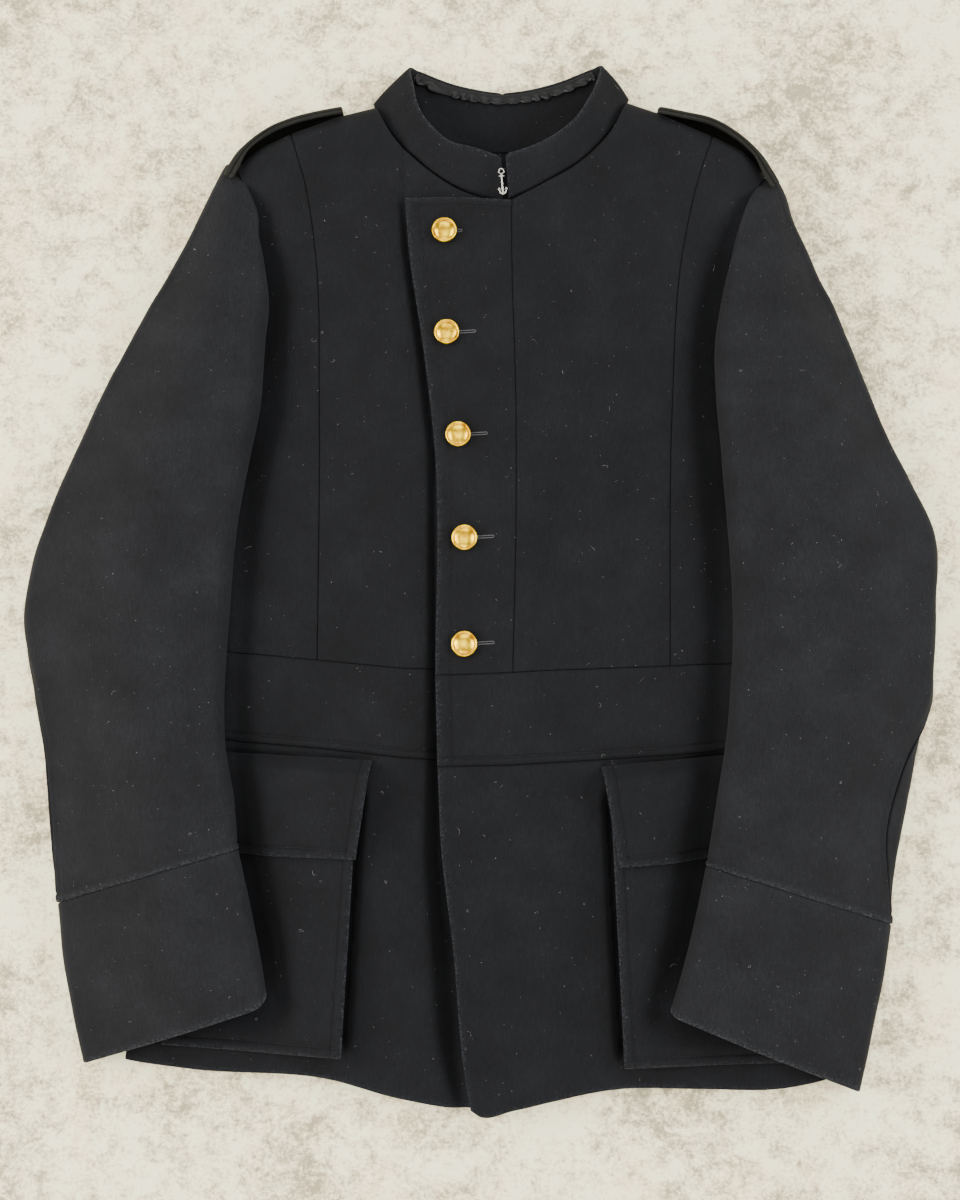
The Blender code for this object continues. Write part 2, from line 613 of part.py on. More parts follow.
def flaps(melton):
    for side in ("right", "left"):
        height = front_height if side == "right" else over_height
        corners = FLAP[side]
        tall = abs(corners[3][1] - corners[0][1])
        up = np.concatenate((np.linspace(0, 1 - FLAP_CLIMB / tall, 4), [1 - 0.5 * FLAP_CLIMB / tall, 1.0]))
        across = np.linspace(0, 1, 8)
        plan = patch_grid(corners, across, up)
        climb = smooth((1 - up) * tall / FLAP_CLIMB)[:, None]
        lift = FLAP_SEAM + (FLAP_SEAT - FLAP_SEAM + pocket_rise(across)) * climb
        face = np.dstack((plan, height(plan[..., 0], plan[..., 1]) + lift))
        inside = face - np.array((0.0, 0.0, CLOTH))
        if side == "left":
            face = face[:, ::-1]
            inside = inside[:, ::-1]
        wall("flap_" + side, face, inside, melton)


# ---------------------------------------------------------------- sleeves
def arm_section(row, steps=12):
    """Outline of a sleeve section from its front seam over the top and back along the ground."""
    cell = dict(zip(SLEEVE_COLUMNS, row))
    inner = np.array((cell["inner_x"], cell["inner_y"]), float)
    outer = np.array((cell["outer_x"], cell["outer_y"]), float)
    width = np.linalg.norm(outer - inner)
    flat = cell["back"] if cell["tuck"] == cell["back"] else cell["tuck"]
    nose = max(flat, support_width(inner, outer)) if cell["tuck"] == cell["back"] else None
    roll_in = EDGE_ROUND * (cell["fold"] - cell["rest"])
    roll_out = EDGE_ROUND * (cell["brim"] - cell["lift"])

    def underside(distance):
        if nose is None:
            return cell["lift"] + 0.0 * distance
        ramp = min(RAMP, width - roll_out - nose)
        return cell["lift"] + (cell["rest"] - cell["lift"]) * (1 - smooth((distance - nose) / ramp))

    def topside(distance):
        return follow((0.0, CREST * width, width), (cell["fold"], cell["crown"], cell["brim"]), distance)

    path = []
    turn = np.linspace(-0.5 * math.pi, 0.5 * math.pi, steps)
    if roll_in > 1.0:
        for distance in np.linspace(cell["tuck"], roll_in, 5)[:-1]:
            path.append((distance, cell["rest"]))
        high = topside(roll_in)
        for angle in turn:
            path.append((roll_in * (1 - math.cos(angle)),
                         0.5 * (high + cell["rest"]) + 0.5 * (high - cell["rest"]) * math.sin(angle)))
    for distance in np.linspace(roll_in, width - roll_out, 24)[1 if roll_in > 1.0 else 0:]:
        path.append((distance, float(topside(distance))))
    low = float(underside(width - roll_out))
    high = float(topside(width - roll_out))
    tip = len(path) + steps // 2 - 1
    for angle in turn[::-1][1:]:
        path.append((width - roll_out + roll_out * math.cos(angle),
                     0.5 * (high + low) + 0.5 * (high - low) * math.sin(angle)))
    for distance in np.linspace(width - roll_out, cell["back"], 24)[1:]:
        path.append((distance, float(underside(distance))))
    path = np.array(path)
    direction = (outer - inner) / width
    points = np.column_stack((inner[0] + direction[0] * path[:, 0],
                              inner[1] + direction[1] * path[:, 0], path[:, 1]))
    tangent = np.gradient(path, lengths_along(path), axis=0)
    tangent /= np.linalg.norm(tangent, axis=1, keepdims=True)
    inward = np.column_stack((tangent[:, 1] * direction[0], tangent[:, 1] * direction[1], -tangent[:, 0]))
    seam = lengths_along(path)[tip] - cell["seam"]
    return points, inward, seam


def support_width(inner, outer):
    """How far out from its inner edge the body holds a sleeve up."""
    side = "right" if inner[0] < 0 else "left"
    reach = np.linspace(0, 1, 200)
    xs = inner[0] + reach * (outer[0] - inner[0])
    ys = inner[1] + reach * (outer[1] - inner[1])
    inside = (xs > body_at(ys, side)) if side == "right" else (xs < body_at(ys, side))
    return reach[inside][-1] * np.linalg.norm(outer - inner) + 2.0


def spread(points, start, end, count):
    """Sample a path between two lengths, closer together where it bends."""
    length = lengths_along(points)
    step = np.diff(points, axis=0)
    step /= np.linalg.norm(step, axis=1, keepdims=True)
    bend = np.arccos(np.clip((step[1:] * step[:-1]).sum(axis=1), -1, 1))
    weight = length + BEND_WEIGHT * np.concatenate(([0.0], np.cumsum(bend), [bend.sum()]))
    first = np.interp(start, length, weight)
    last = np.interp(end, length, weight)
    return np.interp(np.linspace(first, last, count), weight, length)


def strip(sections, count, part):
    """Outer and inner grids of one sleeve piece: its top, its under side or all round."""
    outer = []
    inner = []
    for points, inward, seam in sections:
        length = lengths_along(points)
        start, end = {"top": (0.0, seam - 0.5 * SEAM_GAP),
                      "under": (seam + 0.5 * SEAM_GAP, length[-1] - SEAM_GAP),
                      "round": (0.0, length[-1] - SEAM_GAP)}[part]
        at = spread(points, start, end, count)
        place = np.stack([np.interp(at, length, points[:, k]) for k in range(3)], axis=-1)
        normal = np.stack([np.interp(at, length, inward[:, k]) for k in range(3)], axis=-1)
        outer.append(place)
        inner.append(place + CLOTH * normal)
    return np.array(outer), np.array(inner)


def sleeves(melton):
    for side in ("right", "left"):
        sections = [arm_section(row) for row in SLEEVE[side]]
        cuff = [arm_section(row) for row in CUFF[side]]
        for part, count in (("top", 14), ("under", 9)):
            outer, inner = strip(sections, count, part)
            wall("sleeve_" + side + "_" + part, outer, inner, melton)
        outer, inner = strip(cuff, 22, "round")
        wall("cuff_" + side, outer, inner, melton)


# ---------------------------------------------------------------- collar
def collar_faces(low, high, steps):
    """Outer face of the collar between two heights of its sections, and its inward normals."""
    table = np.array(COLLAR, float)
    neck = table[:, None, :3]
    top = table[:, None, 3:]
    up = np.linspace(low, high, steps)[None, :, None]
    face = neck * (1 - up) + top * up
    inward = np.cross(np.gradient(face, axis=0), top - neck + 0 * face)
    inward /= np.linalg.norm(inward, axis=-1, keepdims=True)
    return face, inward


def collar(melton, satin):
    face, inward = collar_faces(0.02, 1.0, 4)
    wall("collar_band", face, face + COLLAR_WALL * inward, melton)
    face, inward = collar_faces(SATIN_FOOT, SATIN_HEAD, 3)
    first, last = SATIN_SECTIONS
    lining = slice(first, last + 1)
    outer = face[lining] + (COLLAR_WALL + SATIN_GAP) * inward[lining]
    wall("collar_satin", outer, outer + SATIN_WALL * inward[lining], satin)


# ---------------------------------------------------------------- straps, buttons, clasp
def distance_to(line, points):
    """Distance from plan points to a broken line."""
    found = []
    for start, end in straights(line):
        start = np.array(start, float)
        run = np.array(end, float) - start
        share = np.clip((points - start) @ run / (run @ run), 0.0, 1.0)
        found.append(np.linalg.norm(points - start - share[:, None] * run, axis=1))
    return np.min(found, axis=0)


def strap_sides(side, count):
    """Outer and inner side of a strap as grids: along it from the sleeve head, and down its section."""
    share = np.linspace(0, 1, count)
    line = along((EPAULETTE[side],), share)
    tangent = np.gradient(line, axis=0)
    tangent /= np.linalg.norm(tangent, axis=1, keepdims=True)
    turn = -1.0 if side == "right" else 1.0
    out = turn * np.column_stack((tangent[:, 1], -tangent[:, 0]))
    off = -np.sign(shoulder_distance(line[:, 0], line[:, 1])) * distance_to(SHOULDER[side], line)
    grown = smooth(share / STRAP_ROOT_SHARE)
    tuck = STRAP_TUCK[0] + (STRAP_TUCK[1] - STRAP_TUCK[0]) * smooth((grown - 0.8) / 0.2)
    foot = np.minimum(tuck - off, 0.5 * STRAP_OUT[-1][0])
    wide, low = STRAP_ROOT
    top = STRAP_OUT[0][1]
    steps = np.linspace(0, 1, len(STRAP_OUT) + 1)
    grids = []
    for table, foot_z, inset in ((STRAP_OUT, STRAP_FOOT[0], 0.0), (STRAP_IN, STRAP_FOOT[1], wide)):
        rows = []
        for k, step in enumerate(steps):
            full_u = foot if k == len(table) else np.full(count, float(table[k][0]))
            full_z = foot_z if k == len(table) else table[k][1]
            root_u = STRAP_ROOT_LEAN * step - inset
            root_z = top + (low - top) * step
            u = root_u + (full_u - root_u) * grown
            z = root_z + (full_z - root_z) * grown
            rows.append(np.column_stack((line + out * u[:, None], z)))
        grids.append(np.stack(rows, axis=1))
    return grids


def epaulettes(melton):
    """Straps that stand on edge over the shoulder, rooted in the sleeve head and turned under at the foot."""
    for side in ("right", "left"):
        outer, inner = strap_sides(side, 13)
        wall("epaulette_" + side, outer, inner, melton)


def button(name, x, y, brass):
    """Domed button on a short shank, turned about its own axis."""
    radius = 0.5 * BUTTON_DIAMETER
    profile = ((0.0, 6.2), (4.0, 5.7), (7.4, 4.4), (8.2, 4.3), (8.8, 4.6), (9.4, 4.4), (radius, 3.4),
               (radius, 2.6), (9.2, 2.0), (2.5, 1.8), (2.5, 0.0), (0.0, 0.0))
    mesh = bpy.data.meshes.new(name)
    mesh.from_pydata([(r * MM, 0, z * MM) for r, z in profile],
                     [(i, i + 1) for i in range(len(profile) - 1)], [])
    made = make_object(name, mesh, brass)
    turned = made.modifiers.new("turned", "SCREW")
    turned.steps = 20
    turned.render_steps = 20
    turned.use_merge_vertices = True
    turned.merge_threshold = 0.00001
    made.location = (x * MM, y * MM, (float(over_height(x, y)) + SEAM_GAP) * MM)


def clasp(steel):
    """Flat hook in the shape of a plain anchor: ring, shank, stock and curved arms."""
    curve = bpy.data.curves.new("collar_clasp", "CURVE")
    curve.dimensions = "2D"
    curve.fill_mode = "BOTH"
    curve.extrude = 1.2 * MM
    shank = 1.0
    right_half = ((shank, 5.4), (2.5, 5.4), (2.5, 3.8), (shank, 3.8), (shank, -7.4),
                  (1.9, -6.6), (2.6, -4.6), (2.0, -4.3), (3.3, -2.0), (4.0, -5.2), (3.4, -4.9),
                  (2.4, -8.4), (0.0, -10.6))
    ring_centre = 8.2
    ring = 2.7
    ring_hole = 1.3
    arc = np.linspace(math.radians(-70), math.radians(90), 9)
    outline = [(ring * math.cos(a), ring_centre + ring * math.sin(a)) for a in arc[::-1]]
    outline += list(right_half)
    outline += [(-x, y) for x, y in reversed(outline[1:-1])]
    round_hole = np.linspace(0, 2 * math.pi, 13)[:-1]
    hole = [(ring_hole * math.cos(a), ring_centre + ring_hole * math.sin(a)) for a in round_hole]
    for points in (outline, hole):
        spline = curve.splines.new("POLY")
        spline.points.add(len(points) - 1)
        for point, (x, y) in zip(spline.points, points):
            point.co = (x * MM, y * MM, 0, 1)
        spline.use_cyclic_u = True
    made = bpy.data.objects.new("collar_clasp", curve)
    bpy.data.collections[NAME].objects.link(made)
    curve.materials.append(steel)
    made.location = (CLASP[0] * MM, CLASP[1] * MM, CLASP[2] * MM)
    made.rotation_euler = (math.radians(8), 0, 0)


# ---------------------------------------------------------------- the whole
def new_material(name, colour, roughness, metallic):
    made = bpy.data.materials.new(name)
    made.use_nodes = True
    shader = made.node_tree.nodes["Principled BSDF"]
    shader.inputs["Base Color"].default_value = (*colour, 1.0)
    shader.inputs["Roughness"].default_value = roughness
    shader.inputs["Metallic"].default_value = metallic
    return made


def stand_on_origin():
    """Move every piece so that the whole stands on the origin, centred."""
    bpy.context.view_layer.update()
    depsgraph = bpy.context.evaluated_depsgraph_get()
    corners = []
    pieces = list(bpy.data.collections[NAME].objects)
    for piece in pieces:
        seen = piece.evaluated_get(depsgraph)
        mesh = seen.to_mesh()
        corners += [seen.matrix_world @ vertex.co for vertex in mesh.vertices]
        seen.to_mesh_clear()
    low = [min(corner[axis] for corner in corners) for axis in range(3)]
    high = [max(corner[axis] for corner in corners) for axis in range(3)]
    for piece in pieces:
        piece.location.x -= 0.5 * (low[0] + high[0])
        piece.location.y -= 0.5 * (low[1] + high[1])
        piece.location.z -= low[2]


def main():
    for thing in list(bpy.data.objects):
        bpy.data.objects.remove(thing)
    bpy.context.scene.collection.children.link(bpy.data.collections.new(NAME))
    melton = new_material("wool melton, fulled and pressed", (0.020, 0.020, 0.021), 0.9, 0.0)
    satin = new_material("silk satin, gathered", (0.060, 0.060, 0.062), 0.35, 0.0)
    brass = new_material("gilt brass, stamped", (0.75, 0.45, 0.12), 0.3, 1.0)
    steel = new_material("nickel-plated steel, stamped", (0.60, 0.60, 0.61), 0.3, 1.0)
    back_panels(melton)
    front_sides(melton)
    front_right_centre(melton)
    front_left_placket(melton)
    front_left_centre(melton)
    waistbands(melton)
    skirts(melton)
    pockets(melton)
    flaps(melton)
    sleeves(melton)
    collar(melton, satin)
    epaulettes(melton)
    for number, (x, y) in enumerate(BUTTONS, start=1):
        button("button_" + str(number), x, y, brass)
    clasp(steel)
    stand_on_origin()


main()
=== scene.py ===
"""Officer jacket laid flat on its back: its cloth, seams, stitching and trimmings, in a plain studio.

The cloth pieces lie on the same surfaces as the model's solids. Their tables are in millimetres on
the jacket's pattern, whose zero lies at ORIGIN. "Right" and "left" are the wearer's, +Y runs to the
collar and +Z out of the front.
"""
import math

import bpy
import numpy as np
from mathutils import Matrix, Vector
from mathutils.bvhtree import BVHTree


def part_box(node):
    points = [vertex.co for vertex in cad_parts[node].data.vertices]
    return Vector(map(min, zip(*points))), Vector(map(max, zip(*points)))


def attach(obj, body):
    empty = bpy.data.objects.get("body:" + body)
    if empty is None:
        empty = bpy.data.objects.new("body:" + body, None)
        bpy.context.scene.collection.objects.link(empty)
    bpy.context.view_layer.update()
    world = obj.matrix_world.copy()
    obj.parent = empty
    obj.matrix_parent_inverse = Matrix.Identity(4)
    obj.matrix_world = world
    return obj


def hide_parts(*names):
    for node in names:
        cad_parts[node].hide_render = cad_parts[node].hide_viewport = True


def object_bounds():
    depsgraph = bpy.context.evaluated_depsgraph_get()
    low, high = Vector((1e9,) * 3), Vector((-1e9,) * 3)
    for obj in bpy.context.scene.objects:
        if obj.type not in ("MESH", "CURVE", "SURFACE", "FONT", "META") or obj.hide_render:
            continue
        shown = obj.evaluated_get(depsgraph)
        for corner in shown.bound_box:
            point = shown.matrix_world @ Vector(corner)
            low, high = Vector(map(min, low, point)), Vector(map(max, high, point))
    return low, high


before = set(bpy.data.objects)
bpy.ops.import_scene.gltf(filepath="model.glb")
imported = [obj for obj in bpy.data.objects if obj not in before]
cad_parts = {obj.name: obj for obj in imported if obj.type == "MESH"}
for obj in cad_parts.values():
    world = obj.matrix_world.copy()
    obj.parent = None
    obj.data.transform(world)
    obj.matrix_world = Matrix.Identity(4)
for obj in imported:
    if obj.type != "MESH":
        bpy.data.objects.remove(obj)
CAD_BOX = [list(corner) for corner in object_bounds()]

bl_info = {
    "name": "Officer Jacket Laid Flat",
    "version": (1, 0, 0),
    "blender": (4, 5, 0),
    "location": "View3D > Sidebar > Jacket",
    "description": "Wool officer jacket with its seams, stitching, gilt buttons and a plain studio",
    "category": "Object",
}

MM = 0.001
BODY_NAME = "root"
SHARP_ANGLE = math.radians(58)
PAIR = ("right", "left")
INWARD = {"right": 1.0, "left": -1.0}       # towards the jacket's middle, along x
END = {"right": 0, "left": -1}              # a side's end of a seam across the jacket
THIRD_BUTTON = (-17.0, 129.0)               # the third button's place on the pattern
CAMERA_PLACE = (0.0, -135.9)                # where the camera stands over the pattern, mm
WORLD_STRENGTH = 0.45


def pattern_origin():
    """Where the pattern's zero lies in the model's frame, mm."""
    low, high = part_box("button_3")
    centre = (low + high) / 2 / MM
    return np.array((centre.x - THIRD_BUTTON[0], centre.y - THIRD_BUTTON[1], 0.0))


ORIGIN = pattern_origin()

# ---------------- the jacket's own sizes, mm
SEAM_GAP = 0.3         # between two pieces at a seam
FOLD_GAP = 0.5         # front and back each stop this far from the middle of the side seam
SIDE_MIDDLE = 9.0      # height of the side seam, where the front rolls over into the back
SIDE_ROLL = 24.0       # how far in from the side the front is still rolling over
BACK_ROLL = 14.0
SHOULDER_MIDDLE = 16.0
SHOULDER_ROLL = 20.0
SHOULDER_SLANT = 0.85
LAP_LIFT = 5.5         # how far the over front lies above the under front
LAP_FADES = (20.0, 90.0)
UNDERLAP_X = 45.0      # hidden edge of the under front
BAND_PROUD = 0.8       # the waistband is one layer thicker
RAMP = 46.0            # a sleeve comes down from the body to the ground over this distance
CREST = 0.38           # share of a sleeve's width where its top is highest
EDGE_ROUND = 0.45      # a sleeve's edge is rounded over this share of its height
BEND_WEIGHT = 12.0     # mm of length that one radian of bend counts for when a sleeve is sampled

BODY_COLUMNS = ("y", "right", "left", "middle", "side")
BODY = (
    (-386, -270, 262, 16, 15),
    (-345, -267, 258, 17, 15),
    (-300, -258, 252, 19, 15.5),
    (-240, -246, 243, 20, 15),
    (-180, -233, 235, 22, 17),
    (-110, -220, 226, 24, 19),
    (-46, -213, 222, 25, 19),
    (60, -222, 233, 24, 18),
    (120, -233, 244, 24, 18),
    (190, -246, 258, 25, 20),
    (250, -250, 262, 27, 25),
    (300, -252, 264, 29, 30),
    (345, -254, 266, 31, 34),
    (420, -256, 268, 32, 34),
)
SHOULDER = {
    "right": ((-84, 400), (-112, 392.5), (-152, 377.5), (-174, 366), (-195.6, 349)),
    "left": ((118, 404), (143, 395), (186, 375), (209, 364), (229.4, 342.6)),
}
WAIST_SEAM = ((-213, -37), (-125, -45.5), (-60, -52), (25, -54), (146, -50), (222, -46))
BAND_FOOT = ((-220, -104), (-125, -112.5), (-60, -119.5), (25, -125), (146, -118), (226, -110))
# On the over front both seams run lower beside the lap.
OVER_WAIST_SEAM = ((-34, -58), (14, -56.3), (60, -53.5), (146, -50), (222, -46))
OVER_BAND_FOOT = ((-32, -126.5), (25, -125.3), (146, -118), (226, -110))
PRINCESS = {
    "right": ((-125, -45.5), (-126, 157), (-130, 278), (-138, 330), (-152, 377.5)),
    "left": ((146, -50), (151, 157), (160, 278), (172, 333), (186, 375)),
}
UNDERARM_Y = 190
ARMHOLE = {
    "right": ((-246, 190), (-210, 204), (-186, 228), (-175.5, 262), (-175.5, 295), (-182, 320),
              (-195.6, 349)),
    "left": ((258, 190), (224, 203), (202, 228), (199.5, 262), (205.5, 295), (215, 320), (229.4, 342.6)),
}
BACK_ARMHOLE = {
    "right": ((-246, 190), (-218, 210), (-202, 245), (-192, 290), (-195.6, 349)),
    "left": ((258, 190), (232, 210), (220, 245), (218, 290), (229.4, 342.6)),
}
NECK = {
    "right": ((18, 316), (-16, 327), (-46, 347), (-70, 372), (-84, 400)),
    "left": ((25, 317), (50, 331), (80, 350), (104, 375), (118, 404)),
}
BACK_NECK = ((-84, 400), (-78, 393), (-55, 378.5), (-16, 370), (18, 369.4), (52, 371), (90, 380.5),
             (112, 395), (118, 404))
LAP_EDGE = ((-34, -58), (-35, 117), (-44, 196), (-56, 277), (-59, 318))
LAP_TOP = ((-59, 318), (-20, 319), (25, 317))
PLACKET_SEAM = ((25, -55.6), (28, 77), (28, 156), (25, 277), (25, 317))
SKIRT_LAP_EDGE = ((-7, -380), (-12, -350), (-20, -262), (-29, -189), (-32, -126.5))
HEM_CORNER_Y = {"right": -345, "left": -360}
HEM = {
    "right": ((-211, -352), (-113, -359), (-60, -373), (-13, -380), (45, -374)),
    "left": ((-7, -380), (0, -384.5), (25, -380.5), (52, -375), (105, -366), (165, -366), (224, -366)),
}
BACK_HEM = ((-110, -352), (0, -366), (110, -360))
BACK_HEM_SHORTER = 5

# Stand collar, each row: x, y and height at the neck seam, then x, y and height at the top edge.
COLLAR = np.array((
    (18.5, 317, 29, 17, 352.5, 35),
    (-4, 323, 29, -3, 358.5, 37),
    (-30, 336, 29, -24, 364, 38),
    (-52, 353, 28, -40, 378, 38),
    (-70, 373, 26, -50, 396, 35),
    (-81, 391, 22, -54, 416, 29),
    (-87, 403, 15, -57, 434, 20),
    (-80, 396, 6, -52, 436, 10),
    (-55, 378, 2, -28, 427, 7),
    (-16, 369, 1, -2, 420.5, 6),
    (18, 368, 1, 18, 418, 6),
    (52, 370, 1, 40, 420.5, 6),
    (90, 380, 2, 68, 428, 7),
    (115, 398, 6, 92, 437, 10),
    (121, 407, 15, 98, 435, 20),
    (115, 394, 22, 93, 416, 29),
    (104, 376, 27, 85, 398, 36),
    (84, 354, 31, 73, 380, 39),
    (60, 338, 33, 53, 365, 40),
    (40, 326, 34, 36, 357.5, 40),
    (22.5, 318, 34, 20, 353.5, 38),
), float)
COLLAR_WALL = 3.0
SATIN_SECTIONS = (7, 13)       # the gathered lining runs over these sections of the collar
SATIN_FOOT = 0.775             # between these shares of the collar's height
SATIN_HEAD = 0.945
SATIN_GAP = 0.5

# Sleeves, as sections across the arm from the inner edge (towards the body) to the outer edge.
# tuck: the front seam lies this far back under the inner edge; back: where the under layer ends;
# rest, fold, crown, brim: heights of the layer under the inner edge, of the inner edge's top,
# of the middle and of the outer edge; lift: height of the outer edge's underside;
# seam: distance of the elbow seam in from the outer edge (below zero it lies underneath).
SLEEVE_COLUMNS = ("inner_x", "inner_y", "outer_x", "outer_y", "tuck", "back",
                  "rest", "fold", "crown", "brim", "lift", "seam")
SLEEVE = {
    "right": (
        (-196, 350.6, -202.7, 354.6, 0, 2.5, 16, 16, 19, 20, 12, -3),
        (-188, 336, -211, 335, 1.5, 3, 25, 28, 31, 26, 3, -5),
        (-180, 320, -223.5, 308.5, 1.5, 14, 30, 33, 37, 27, 0, -8),
        (-174.5, 305, -236, 281.5, 2, 20, 31, 34, 40, 27, 0, -8),
        (-173.5, 288, -249.5, 257, 2, 24, 30, 34, 42, 26, 0, -8),
        (-169, 264, -265, 229, 7, 36, 29.5, 38.5, 45, 25, 0, -8),
        (-165, 236, -280, 199, 24, 52, 27.5, 41, 46, 24, 0, -8),
        (-168, 205, -295, 170, 82, 82, 22, 39, 46, 23, 0, -8),
        (-171, 151, -316, 121, 45, 45, 22, 39, 46, 22, 0, -8),
        (-179, 108, -333, 78, 25, 25, 22, 39, 46, 22, 0, -8),
        (-187, 57, -348, 30, 20, 20, 22, 39, 46, 22, 0, -8),
        (-191.5, -5, -353, -18, 20, 20, 22, 40, 46, 22, 0, -4),
        (-194, -63, -343, -68, 20, 20, 24, 41, 46, 22, 0, 5),
        (-191.5, -112, -333, -120, 20, 20, 31, 46, 49, 22, 0, 10),
        (-184, -150, -327, -180, 20, 20, 32, 47, 50, 22, 0, 12),
        (-180, -188, -320, -229, 20, 20, 31, 46, 48, 22, 0, 8),
    ),
    "left": (
        (229.8, 344.2, 235.7, 346, 0, 2.5, 16, 16, 19, 20, 12, -3),
        (221, 331, 244, 325, 1.5, 3, 25, 28, 31, 26, 3, -5),
        (213.5, 320, 249.5, 304, 1.5, 10, 30, 33, 37, 27, 0, -8),
        (206, 302, 259.5, 281, 2, 16, 31, 34, 40, 27, 0, -8),
        (201, 286, 268.5, 259, 2, 20, 30, 34, 42, 26, 0, -8),
        (195, 261, 281, 233, 7, 34, 29.5, 38.5, 45, 25, 0, -8),
        (188, 232, 292, 203, 24, 50, 27.5, 41, 46, 24, 0, -8),
        (184, 203, 304, 172, 79, 79, 22, 39, 46, 23, 0, -8),
        (184, 160, 322, 127, 45, 45, 22, 39, 46, 22, 0, -8),
        (187, 115, 338, 92, 25, 25, 22, 39, 46, 22, 0, -8),
        (190, 68, 354.5, 53, 20, 20, 22, 39, 46, 22, 0, -8),
        (193, 10, 354, 2, 20, 20, 22, 40, 46, 22, 0, -8),
        (193, -30, 351, -40, 20, 20, 23, 41, 46, 22, 0, -4),
        (190, -70, 346, -82, 20, 20, 25, 42, 47, 22, 0, 4),
        (184, -114, 332, -126, 20, 20, 31, 47, 50, 22, 0, 18.5),
        (177, -152, 321, -175, 20, 20, 32, 48, 51, 22, 0, 23),
        (168, -200, 311, -245, 20, 20, 31, 46, 48, 22, 0, 9),
    ),
}
CUFF = {
    "right": (
        (-180, -188.5, -319, -229.5, 20, 20, 31, 46, 48, 22, 0, 0),
        (-171, -228, -314, -272, 20, 20, 29, 44, 47, 22, 0, 0),
        (-163, -264, -306, -310, 20, 20, 28, 43, 45, 21, 0, 0),
        (-156, -302, -297, -347, 20, 20, 26, 41, 43, 20, 0, 0),
    ),
    "left": (
        (168, -200.5, 311, -245.5, 20, 20, 31, 46, 48, 22, 0, 0),
        (160, -238, 303, -288, 20, 20, 29, 44, 47, 22, 0, 0),
        (151, -272, 294, -326, 20, 20, 28, 43, 45, 21, 0, 0),
        (139.5, -309, 284, -368, 20, 20, 26, 41, 43, 20, 0, 0),
    ),
}

# Pockets and flaps in plan, corners in order: outer foot, inner foot, inner top, outer top.
POCKET = {
    "right": ((-238, -333), (-103, -342), (-92, -136), (-208, -132)),
    "left": ((236, -346), (107, -349), (98, -141), (214, -134)),
}
POCKET_RISE = (4.0, 12.0)      # at the outer side, pressed down by the sleeve, and at the inner side
POCKET_SIDE = 7.0              # how far in the pocket's side turns over into its face
POCKET_GAP = 0.5               # between the pocket and the skirt under it
FLAP = {
    "right": ((-216, -192), (-93, -196), (-82, -122), (-208, -115)),
    "left": ((218, -194), (104, -202), (92, -127), (218, -115)),
}
FLAP_SEAM = 2.2                # the flap's face lies this far above the skirt at its seam
FLAP_SEAT = 4.6                # and this far further than the pocket's rise where it lies on the pocket
FLAP_CLIMB = 12.0              # length over which the flap climbs from its seam to the pocket
EPAULETTE = {
    "right": ((-201.3, 336.8), (-195.3, 348.3), (-181, 365), (-166, 376), (-150, 383), (-131, 388.5),
              (-110, 392)),
    "left": ((234.8, 329.7), (226, 345.5), (214.5, 361), (201, 373), (184, 383), (163, 388.5), (142, 392)),
}
# The strap's outer and inner side in section: distance out from that edge, and height. It leans out
# over the ground, and its foot turns back under the shoulder.
STRAP_OUT = ((0, 37), (4.6, 27), (9, 17), (12.4, 8.5), (12.4, 3.8), (8.5, 0.8))
STRAP_IN = ((-4.4, 36), (0, 25.2), (4.2, 15.6), (7.2, 9.4), (7.2, 6.6), (5.6, 4.6))
STRAP_FOOT = (0.8, 4.6)        # heights of the turned foot's underside and top
STRAP_TUCK = (1.2, -4.5)       # how far out from the shoulder line it ends, beside the root and beyond
STRAP_ROOT = (8.0, 32.1)       # at the sleeve head only its top is left: width, and underside's height
STRAP_ROOT_LEAN = 2.6
STRAP_GROWS = (0.08, 0.2)      # shares of its length: where it starts to grow, and how long it takes

BUTTONS = ((-28, 291), (-26, 210), (-17, 129), (-12, 48), (-12, -34))
CLASP = (17.4, 330, 37.6)
CLASP_TURN = 5.0       # degrees that it has slipped round

# ---------------- how the cloth is worked, mm
PANEL_STEP = 3.0       # spacing of a front panel's points
BACK_STEP = 6.0
SLEEVE_STEP = 3.2
COLLAR_STEP = 2.2
STRAP_STEP = 2.0
SEAM_ROUND = 1.7       # radius to which the cloth turns down into a seam
EDGE_SHARE = 0.48      # a turned edge is round over this share of its wall
STITCH_PITCH = 3.2
STITCH_LENGTH = 2.5
# One stitch: share of its length, height over the cloth and radius.
STITCH_SHAPE = ((0.0, -0.3, 0.12), (0.12, 0.08, 0.22), (0.5, 0.2, 0.2), (0.88, 0.08, 0.22), (1.0, -0.3, 0.12))
CHANNEL_SINK = 0.75    # how deep a row of stitches pulls the cloth in
CHANNEL_WIDTH = 1.2
EDGE_SWELL = 0.8       # how far the turned cloth between a row of stitches and its edge swells
RUB_AND_HIGHLIGHT_REACH = 1.5       # how far in from a turned edge the cloth is lightened: rubbed nap and painted highlight
PUCKER = 0.18          # height of the small waves that stitching gives the cloth beside it
PUCKER_LENGTH = 9.0
PUCKER_REACH = 7.0
UNDERARM_SHARE = 0.55  # share of a bodice side that is side seam, below the armhole

# Where rows of stitches run: distance in from their edge or seam.
LAP_STITCH = 11.5
TOP_STITCH = 7.5
BAND_FOOT_STITCH = 6.0
BAND_FOOT_SWELL = 1.7
POCKET_STITCH = 7.5
FLAP_STITCH = 7.5
CUFF_RIDGE = 6.0
FLAP_STITCH_SPAN = (0.06, 0.94)
CUFF_RIDGE_SWELL = 0.7
CUFF_RIDGE_SINK = 0.4
CUFF_CORNER = {"right": 10.0, "left": 4.5}   # radius of the cuff's inner corner at its hem
HEAD_ROLL = 2.6        # the sleeve head turns down to the ground over this distance
HEAD_LOW = 10.0
ELBOW_RIDGE = 4.6
ELBOW_SWELL = 0.7

